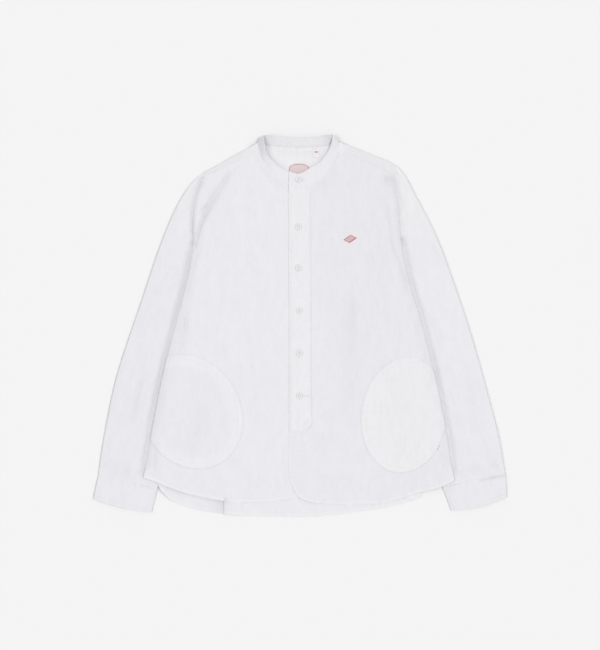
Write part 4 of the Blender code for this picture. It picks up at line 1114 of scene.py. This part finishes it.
for piece, neighbour in (
        ("yoke", "front_left"), ("yoke", "front_right"), ("cuff_left", "sleeve_left"),
        ("cuff_right", "sleeve_right")):
    draw_to(cloths[piece], cloths[neighbour])
for piece, neighbour in (
        ("sleeve_left", "front_left"), ("sleeve_right", "front_right"),
        ("sleeve_left", "yoke"), ("sleeve_right", "yoke")):
    draw_to(cloths[piece], cloths[neighbour], reach=0.0018, whole=0.0012)

# %% [markdown]
# The collar band is sewn into the neck edge. So the neck edge of every piece rises to the
# band's visible lower edge, and the cloth behind it is drawn up along with it, which leaves a
# soft cove instead of a gap.

# %% Join the neck edge to the band
NECK_RING = np.vstack((
    LINE["left"]["neck"], line_through(((0.0705, 0.306), (0.0715, 0.316), (0.0705, 0.3245))),
    line_through(((0.066, 0.321), (0.057, 0.3175), (0.032, 0.3125), (0.000, 0.311),
                  (-0.035, 0.3125), (-0.063, 0.317), (-0.073, 0.3205))),
    line_through(((-0.078, 0.323), (-0.0765, 0.314), (-0.0745, 0.304))), LINE["right"]["neck"][::-1]))
NEAR_NECK = 0.0024        # points closer to the neck ring than this belong to the rim
VISIBLE_EDGE = 0.003      # the band's visible edge lies no higher than this above its nearest point


def join_rim(piece, neighbour, from_x, to_x, from_y=0.0, reach=0.010, spread=0.013):
    """Lifts a neck edge to the neighbour's visible edge and eases the cloth behind it."""
    points = points_of(piece)
    chosen = np.flatnonzero((gap_from(points, NECK_RING) < NEAR_NECK) & (points[:, 0] > from_x)
                            & (points[:, 0] < to_x) & (points[:, 1] > from_y))
    rim, moves = [], []
    for index in chosen:
        start = Vector(points[index])
        found, spot, normal, face = neighbour.closest_point_on_mesh(start, distance=reach)
        if not found:
            continue
        outward = Vector((spot.x - start.x, spot.y - start.y, 0.0)).normalized()
        for step in range(8):
            over = spot + outward * (0.0002 + 0.0004 * step)
            top = seen_from_above(neighbour, over.x, over.y)
            if top and top[0].z - spot.z < VISIBLE_EDGE:
                rim.append(index)
                moves.append(np.array(top[0]) - points[index])
                break
    tree = KDTree(len(rim))       # finds the nearest rim points quickly
    for number, index in enumerate(rim):
        tree.insert(points[index], number)
    tree.balance()
    moves = np.array(moves)
    moved = points.copy()
    low, high = points[rim].min(0) - spread, points[rim].max(0) + spread
    for index in np.flatnonzero(np.all((points > low) & (points < high), axis=1)):
        near = tree.find_n(points[index], 4)
        weights = np.array([1.0 / (distance + 0.0004) for spot, number, distance in near])
        pull = (moves[[number for spot, number, distance in near]] * weights[:, None]).sum(0) / weights.sum()
        moved[index] += pull * (1.0 - float(soft(near[0][2] / spread)))
    set_points(piece, moved)
    print(piece.name, "joined at", len(rim), "points")


join_rim(cloths["front_left"], band, -0.03, 0.2)
join_rim(cloths["placket"], band, -0.03, 0.2)
join_rim(cloths["front_right"], band, -0.2, -0.0215)
join_rim(cloths["yoke"], band, -0.2, 0.2, from_y=0.302, spread=0.014)

# %% [markdown]
# A shirt button is a small turned disc: a rounded rim, a shallow dish and four holes. One is
# modelled here, lying flat at the origin: a cylinder with its rim bevelled and its top set in,
# and the holes cut by a Boolean. The copies come later, each with its own mesh.

# %% Model one button
BUTTON_RADIUS = 0.0054
BUTTON_HEIGHT = 0.0014
RIM_OF_BUTTON = 0.0013    # from its edge to the dish
DISH_DEPTH = 0.0004
HOLE_RADIUS = 0.00075
HOLE_OFFSET = 0.00125


def select_faces(piece, test):
    """Selects the faces whose centre and normal pass a test, in edit mode."""
    bpy.ops.object.mode_set(mode="EDIT")
    bpy.ops.mesh.select_mode(type="FACE")
    bpy.ops.mesh.select_all(action="DESELECT")
    bpy.ops.object.mode_set(mode="OBJECT")
    for face in piece.data.polygons:
        face.select = bool(test(face.center, face.normal))
    bpy.ops.object.mode_set(mode="EDIT")


pick(floor)
bpy.ops.object.select_all(action="DESELECT")
bpy.ops.mesh.primitive_cylinder_add(vertices=40, radius=BUTTON_RADIUS, depth=BUTTON_HEIGHT,
                                    location=(0.0, 0.0, BUTTON_HEIGHT / 2))
button = bpy.context.object
bpy.ops.object.transform_apply(location=True, rotation=False, scale=False)
select_faces(button, lambda centre, normal: normal.z > 0.9)
bpy.ops.mesh.inset(thickness=RIM_OF_BUTTON)
bpy.ops.mesh.inset(thickness=0.0005)
bpy.ops.transform.translate(value=(0.0, 0.0, -DISH_DEPTH))
bpy.ops.mesh.inset(thickness=0.0010)
bpy.ops.object.mode_set(mode="OBJECT")
finish_with(button, "BEVEL", width=0.00035, segments=3, limit_method="ANGLE",
            angle_limit=math.radians(35))

holes = []
for across in (-HOLE_OFFSET, HOLE_OFFSET):
    for up in (-HOLE_OFFSET, HOLE_OFFSET):
        bpy.ops.mesh.primitive_cylinder_add(vertices=14, radius=HOLE_RADIUS, depth=0.01,
                                            location=(across, up, 0.0))
        holes.append(bpy.context.object)
pick(*holes)
bpy.ops.object.join()
drill = bpy.context.object
finish_with(button, "BOOLEAN", operation="DIFFERENCE", object=drill, solver="EXACT")
bpy.data.objects.remove(drill)
pick(button)
bpy.ops.object.shade_smooth_by_angle(angle=math.radians(35))
print("one button:", len(button.data.polygons), "faces")

# %% [markdown]
# The thread that holds a button crosses from hole to hole in two short bars and ends in a
# little shank under the disc. A bar is a thin cylinder with its ends pulled in and down.

# %% Model the button's thread
def thread_bar(length, radius, sides=6):
    """A short sewn thread along X whose ends dive into the cloth."""
    bpy.ops.object.select_all(action="DESELECT")
    bpy.ops.mesh.primitive_cylinder_add(vertices=sides, radius=radius, depth=length * 0.6,
                                        location=(0.0, 0.0, 0.0), rotation=(0.0, math.pi / 2, 0.0))
    bar = bpy.context.object
    bpy.ops.object.transform_apply(location=True, rotation=True, scale=True)
    for way in (-1.0, 1.0):
        select_faces(bar, lambda centre, normal: normal.x * way > 0.9)
        bpy.ops.mesh.extrude_region_move(
            TRANSFORM_OT_translate={"value": (way * length * 0.2, 0.0, -radius * 1.3)})
        bpy.ops.transform.resize(value=(1.0, 0.45, 0.45))
    bpy.ops.object.mode_set(mode="OBJECT")
    bpy.ops.object.shade_smooth()
    return bar


bars = []
for up in (-HOLE_OFFSET, HOLE_OFFSET):
    bar = thread_bar(2 * HOLE_OFFSET + 0.0008, 0.00042, sides=8)
    bar.data.transform(Matrix.Translation((0.0, up, BUTTON_HEIGHT - DISH_DEPTH)))
    bars.append(bar)
bpy.ops.object.select_all(action="DESELECT")
bpy.ops.mesh.primitive_cylinder_add(vertices=12, radius=0.0013, depth=0.0014, location=(0.0, 0.0, -0.0002))
bars.append(bpy.context.object)
pick(*bars)
bpy.ops.object.join()
bpy.ops.object.transform_apply(location=True, rotation=True, scale=True)
button_thread = bpy.context.object
print("button thread:", len(button_thread.data.polygons), "faces")

# %% [markdown]
# Everything sewn on has to sit on the cloth as it now lies. A ray sent straight down finds the
# highest cloth under a place, and the small piece is set there.

# %% Find the cloth below
def cloth_top(x, y, nodes):
    """Highest point and normal of the named cloths under x, y."""
    best = None
    for node in nodes:
        found = seen_from_above(cloths[node], x, y)
        if found and (best is None or found[0].z > best[0].z):
            best = found
    return best


def copy_at(model, name, place):
    """A copy of a model with its own mesh, moved by a matrix, its object left at the origin."""
    piece = bpy.data.objects.new(name, model.data.copy())
    bpy.context.scene.collection.objects.link(piece)
    piece.data.transform(place)
    return piece


BUTTON_PLACES = ((-0.0020, 0.2560), (-0.0030, 0.1740), (-0.0030, 0.1020),
                 (-0.0010, 0.0270), (-0.0010, -0.0470), (-0.0010, -0.1220))
BUTTON_TURNS = (12.0, -8.0, 34.0, 3.0, -25.0, 18.0)
buttons = {}
for number, ((x, y), turn) in enumerate(zip(BUTTON_PLACES, BUTTON_TURNS), 1):
    spot, normal = cloth_top(x, y, ("placket", "collar_band", "front_left"))
    tilt = Vector((0.0, 0.0, 1.0)).rotation_difference((normal + Vector((0.0, 0.0, 2.0))).normalized())
    place = (Matrix.Translation(spot + Vector((0.0, 0.0, 0.0003))) @ tilt.to_matrix().to_4x4()
             @ Matrix.Rotation(math.radians(turn), 4, "Z"))
    buttons[number] = (copy_at(button, "shirt_button_%d" % number, place),
                       copy_at(button_thread, "button_thread_%d" % number, place))
    print("button", number, "lies at z =", round(spot.z * 1000, 2), "mm")
bpy.data.objects.remove(button)
bpy.data.objects.remove(button_thread)

# %% [markdown]
# All sewing on the shirt is one lockstitch. A single stitch is modelled once and copied at even
# steps along each sewing line, turned along the line and laid on the cloth below.

# %% Sew a line
STITCH = 0.0026           # from one stitch to the next
THREAD_RADIUS = 0.00022
STEEPEST = 0.25           # cloth that faces up less than this takes no stitch
stitch = thread_bar(STITCH * 0.78, THREAD_RADIUS, sides=5)
stitch_points = points_of(stitch)
stitch_faces = [tuple(face.vertices) for face in stitch.data.polygons]
bpy.data.objects.remove(stitch)


def sew(name, lines, nodes, covers=(), lift=0.00005):
    """Rows of stitches along lines in plan, as one piece. Nothing is sewn under the covers."""
    points, faces = [], []
    for line in lines:
        row = line_through(line if len(line) < 12 else line[::2], STITCH)
        for start, end in zip(row[:-1], row[1:]):
            middle = (start + end) / 2
            found = cloth_top(middle[0], middle[1], nodes)
            if found is None or cloth_top(middle[0], middle[1], covers):
                continue
            spot, normal = found
            if normal.z < STEEPEST:
                continue
            run = Vector((*(end - start), 0.0))
            run = (run - normal * run.dot(normal)).normalized()
            turn = np.array(Matrix((run, normal.cross(run), normal)).transposed())
            base = len(points)
            points.extend(stitch_points @ turn.T + np.array(spot + normal * lift))
            faces.extend(tuple(base + corner for corner in face) for face in stitch_faces)
    mesh = bpy.data.meshes.new(name)
    mesh.from_pydata([tuple(p) for p in points], [], faces)
    piece = bpy.data.objects.new(name, mesh)
    bpy.context.scene.collection.objects.link(piece)
    pick(piece)
    bpy.ops.object.shade_smooth()
    print(name, "stitches:", len(faces) // len(stitch_faces))
    return piece


def beside(line, offset):
    """The same line set off to its left by a distance, or to its right where it is below 0."""
    line = np.asarray(line, dtype=float)
    run = np.gradient(line, axis=0)
    run /= np.linalg.norm(run, axis=1, keepdims=True)
    return line + offset * np.column_stack((-run[:, 1], run[:, 0]))


def inset(piece_side, name, depth, start=0.0, end=1.0):
    """Part of a cut line, set in towards the middle of the shirt's body."""
    line = LINE[piece_side][name]
    line = line[int(start * (len(line) - 1)):int(end * (len(line) - 1)) + 1]
    centre = np.array((0.06 if piece_side == "left" else -0.06, 0.0))
    one, other = beside(line, depth), beside(line, -depth)
    inner = np.linalg.norm(one - centre, axis=1).mean() < np.linalg.norm(other - centre, axis=1).mean()
    return one if inner else other


# %% [markdown]
# Each seam lies at its own distance from the cut line: close to the edge where a patch is
# topstitched, and as far in as the turned cloth is wide along a hem.

# %% Sew the seams
TOPSTITCH = 0.0016        # from the edge of a pocket or a yoke seam
CUFF_TOPSTITCH = 0.0022   # to both sides of the cuff seam
seams = {}
ON_FRONT = {"left": ("front_left", "pocket_left", "placket"), "right": ("front_right", "pocket_right")}
for side in SIDES:
    pocket = CUT[side]["pocket"]
    seams["pocket_" + side] = sew("pocket_stitches_" + side,
                                  [ring(*pocket, inset=TOPSTITCH), ring(*pocket, inset=RIM_WIDTH)],
                                  ("pocket_" + side,))
    seams["hem_" + side] = sew("hem_stitches_" + side, [inset(side, "hem", HEM_WIDTH, 0.0, 0.985)],
                               ON_FRONT[side])
    seams["yoke_" + side] = sew("yoke_stitches_" + side,
                                [beside(LINE[side]["shoulder"], TOPSTITCH if side == "left" else -TOPSTITCH)],
                                ("yoke",))
    cuff_lines = [beside(LINE[side]["cuff_seam"], way * CUFF_TOPSTITCH) for way in (-1, 1)]
    cuff_lines += [beside(LINE[side]["cuff_edge"], way * CUFF_STITCH_LINE) for way in (-1, 1)]
    seams["cuff_" + side] = sew("cuff_stitches_" + side, cuff_lines, ("cuff_" + side,))
seams["placket"] = sew("placket_stitches", [
    ((0.0168, 0.236), (0.0184, -0.100), (0.0178, -0.160)), ((0.0178, -0.160), (0.0070, -0.1710)),
    ((0.0070, -0.1710), (0.0062, -0.1835)), ((0.0062, -0.1835), (-0.0035, -0.1835)),
    ((-0.0165, 0.236), (-0.0160, 0.000), (-0.0160, -0.180)),
    ((-0.0035, -0.1575), (0.0078, -0.1575)), ((-0.0035, -0.1575), (-0.0035, -0.1835)),
    ((0.0078, -0.1420), (0.0078, -0.1710)),
], ("placket", "front_left"))

# %% [markdown]
# The band is topstitched near both its edges. Its rows give places on its lower and its upper
# edge, and each line of stitches runs at a share of the way between them.

# %% Sew the band, the tail and the armholes
BAND_ROWS = {            # lower x, y and upper x, y of the band
    "front": ((-0.0190, 0.2450, -0.0180, 0.2700), (0.0000, 0.2410, -0.0020, 0.2660),
              (0.0210, 0.2450, 0.0160, 0.2755), (0.0400, 0.2570, 0.0350, 0.2860),
              (0.0560, 0.2770, 0.0460, 0.3000), (0.0650, 0.2945, 0.0535, 0.3145),
              (0.0680, 0.3090, 0.0565, 0.3260)),
    "side": ((-0.0725, 0.3085, -0.0625, 0.3210), (-0.0685, 0.2935, -0.0590, 0.3025),
             (-0.0570, 0.2770, -0.0465, 0.2880), (-0.0400, 0.2580, -0.0335, 0.2770),
             (-0.0215, 0.2450, -0.0200, 0.2700)),
    "back": ((0.0540, 0.3165, 0.0440, 0.3330), (0.0300, 0.3120, 0.0270, 0.3300),
             (0.0000, 0.3105, 0.0000, 0.3285), (-0.0330, 0.3120, -0.0290, 0.3298),
             (-0.0600, 0.3158, -0.0480, 0.3320)),
}
BAND_STITCHING = (0.09, 0.88)
ARMHOLE_TOPSTITCH = 0.0065
band_lines = []
for rows in BAND_ROWS.values():
    rows = np.array(rows)
    for share in BAND_STITCHING:
        band_lines.append(tuple(map(tuple, rows[:, :2] * (1.0 - share) + rows[:, 2:] * share)))
seams["band"] = sew("band_stitches", band_lines, ("collar_band",))
# of the two lines beside the tail's edge, the one further up the shirt is on the cloth
tail_line = max((beside(TAIL, way * HEM_WIDTH) for way in (1, -1)), key=lambda line: line[:, 1].mean())
seams["tail"] = sew("tail_stitches", [tail_line], ("back",), covers=("front_left", "front_right"))
seams["armholes"] = sew("armhole_stitches",
                        [inset(side, "armhole", ARMHOLE_TOPSTITCH, 0.12, 0.9) for side in SIDES],
                        ("front_left", "front_right", "yoke"))
seams["centre"] = sew("centre_hem_stitches", [inset("left", "centre", HEM_WIDTH, 0.78, 0.985)],
                      ("front_left",))

# %% [markdown]
# A buttonhole is a slit edged with close stitches that stand across it. The button hides most
# of it. The ones on the placket run with the strip; the top one and the last lie crosswise.

# %% Buttonholes
SLIT_TO_STITCH = 0.0011
STITCHES_A_SIDE = 19
BUTTONHOLES = (          # x, y of the middle, length, 1 where it lies crosswise
    (0.0015, 0.2560, 0.0130, 1), (-0.0030, 0.1732, 0.0140, 0), (-0.0030, 0.1010, 0.0140, 0),
    (-0.0010, 0.0262, 0.0140, 0), (-0.0010, -0.0480, 0.0140, 0), (0.0105, -0.1220, 0.0145, 1),
)
hole_lines = []
for x, y, length, crosswise in BUTTONHOLES:
    run = np.array((1.0, 0.0) if crosswise else (0.0, 1.0))
    across = run[::-1]
    for step in np.linspace(-length / 2, length / 2, STITCHES_A_SIDE):
        for way in (-1.0, 1.0):
            middle = np.array((x, y)) + run * step + across * way * SLIT_TO_STITCH
            hole_lines.append((tuple(middle - across * STITCH / 2), tuple(middle + across * STITCH / 2)))
seams["holes"] = sew("buttonhole_stitches", hole_lines, ("placket", "collar_band"), lift=0.00008)

# %% [markdown]
# White thread is a little brighter and glossier than the cloth. The buttons are a pale shell:
# smooth, softly cloudy and a shade greyer than the linen.

# %% Finishes of thread and buttons
def plain_finish(name, colour, roughness, scale, spread, coat=0.0):
    """A finish whose tone drifts a little over the surface: by a share called spread."""
    material = bpy.data.materials.new(name)
    material.use_nodes = True
    tree = material.node_tree
    shader = tree.nodes["Principled BSDF"]
    shader.inputs["Roughness"].default_value = roughness
    shader.inputs["Coat Weight"].default_value = coat
    place = wire(tree, "ShaderNodeTexCoord").outputs["Object"]
    cloud = wire(tree, "ShaderNodeTexNoise", {"Vector": place, "Scale": scale, "Detail": 2.0})
    drift = wire(tree, "ShaderNodeMix", {0: cloud.outputs["Fac"]}, data_type="RGBA")
    drift.inputs[6].default_value = (*(c * (1.0 - spread) for c in colour), 1.0)
    drift.inputs[7].default_value = (*(min(1.0, c * (1.0 + spread)) for c in colour), 1.0)
    tree.links.new(drift.outputs[2], shader.inputs["Base Color"])
    return material


thread_white = plain_finish("thread_white", (0.735, 0.730, 0.745), 0.6, 900.0, 0.02)
button_shell = plain_finish("button_shell", (0.688, 0.688, 0.696), 0.42, 260.0, 0.04, coat=0.10)
print("finishes so far:", len(bpy.data.materials))

# %% [markdown]
# The labels are woven from red and white thread. From afar the two mix to a dusty rose, so each
# label is a fine grid whose cells are red or white thread: a red border round stripes, and no
# words. The grid is laid on the cloth point by point, then thickened and its rim rounded.

# %% Labels
LABEL_THICKNESS = 0.0005
LABEL_LIFT = 0.0002       # above the cloth
LABEL_PUFF = 0.0004       # how much fuller its middle stands
label_red = plain_finish("label_thread_red", (0.46, 0.095, 0.125), 0.75, 700.0, 0.06)
woven_white = plain_finish("label_thread_white", (0.68, 0.66, 0.67), 0.75, 700.0, 0.03)
plain_white = plain_finish("label_plain_white", (0.725, 0.72, 0.735), 0.75, 700.0, 0.02)


def label(name, size, cells, centre, turn, on, is_red, pale, rounding=0.0, slant=0.0):
    """A woven label on the cloth. is_red says from each cell's place, 0 to 1, if it is red, and
    pale is the finish of the other cells."""
    bpy.ops.object.select_all(action="DESELECT")
    bpy.ops.mesh.primitive_grid_add(x_subdivisions=cells[0], y_subdivisions=cells[1], size=1.0,
                                    location=(0.0, 0.0, 0.0))
    piece = bpy.context.object
    piece.name = name
    piece.data.materials.append(label_red)
    piece.data.materials.append(pale)
    for face in piece.data.polygons:
        face.material_index = 0 if is_red(face.center.x + 0.5, face.center.y + 0.5) else 1
    points = points_of(piece)
    flat = points[:, :2].copy()
    points[:, 1] *= 1.0 - rounding * (2.0 * np.abs(flat[:, 0])) ** 2.6
    points[:, :2] *= size
    points[:, 0] += slant * points[:, 1]
    tilt = math.radians(turn)
    points[:, :2] = np.column_stack((
        centre[0] + points[:, 0] * math.cos(tilt) - points[:, 1] * math.sin(tilt),
        centre[1] + points[:, 0] * math.sin(tilt) + points[:, 1] * math.cos(tilt)))
    puff = LABEL_PUFF * (1.0 - (2.0 * flat[:, 0]) ** 4) * (1.0 - (2.0 * flat[:, 1]) ** 4)
    for index, (x, y, z) in enumerate(points):
        found = cloth_top(x, y, on)
        points[index, 2] = (found[0].z if found else 0.0) + LABEL_LIFT
    points[:, 2] += puff
    set_points(piece, points)
    finish_with(piece, "SOLIDIFY", thickness=LABEL_THICKNESS, offset=1.0)
    finish_with(piece, "BEVEL", width=0.00018, segments=2, limit_method="ANGLE",
                angle_limit=math.radians(50))
    pick(piece)
    bpy.ops.object.shade_smooth_by_angle(angle=math.radians(35))
    cloths[name] = piece
    print(name, "faces:", len(piece.data.polygons), "top:", round(points[:, 2].max() * 1000, 2), "mm")
    return piece


def framed_stripes(u, v):
    """A red border, and red and white stripes within it."""
    return min(u, 1.0 - u) < 0.055 or min(v, 1.0 - v) < 0.11 or (v * 9.0) % 1.0 < 0.42


chest_tab = label("chest_tab", (0.0150, 0.0104), (36, 36), (0.0877, 0.1525), 34.0, ("front_left",),
                  framed_stripes, woven_white, slant=-0.55)
neck_tab = label("neck_tab", (0.0346, 0.0212), (44, 44), (-0.0018, 0.2737), 0.0, ("yoke", "back"),
                 lambda u, v: min(u, 1.0 - u) < 0.03 or min(v, 1.0 - v) < 0.05 or (v * 11.0) % 1.0 < 0.36,
                 woven_white, rounding=0.52)
size_tag = label("size_tag", (0.0110, 0.0140), (18, 22), (0.0285, 0.3020), -4.0, ("yoke",),
                 lambda u, v: 0.22 < u < 0.78 and 0.60 < v < 0.84 and (v * 12.0) % 1.0 < 0.5, plain_white)

# %% [markdown]
# Last, every piece gets its finish and is tied to the shirt's body, and the solid that each
# stands for is hidden.

# %% Finishes and bodies
FINISH = {node: linen_body for node in (
    "front_left", "front_right", "back", "yoke", "collar_band", "pocket_left", "pocket_right", "placket")}
for side in SIDES:
    FINISH["sleeve_" + side] = FINISH["cuff_" + side] = linen_arm[side]


def give(piece, finish):
    """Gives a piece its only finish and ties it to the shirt's body."""
    piece.data.materials.clear()
    piece.data.materials.append(finish)
    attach(piece, "root")


for node, finish in FINISH.items():
    give(cloths[node], finish)
    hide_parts(node)
for piece, node, slot in ((chest_tab, "chest_label", "label_red"), (neck_tab, "neck_label", "label_red"),
                          (size_tag, "size_tab", "label_white")):
    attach(piece, "root")
    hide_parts(node)
for seam in seams.values():
    give(seam, thread_white)
for number, (disc, thread) in buttons.items():
    give(disc, button_shell)
    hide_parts("button_%d" % number)
    give(thread, thread_white)
print("pieces dressed:", len(cloths) + len(seams) + 2 * len(buttons))
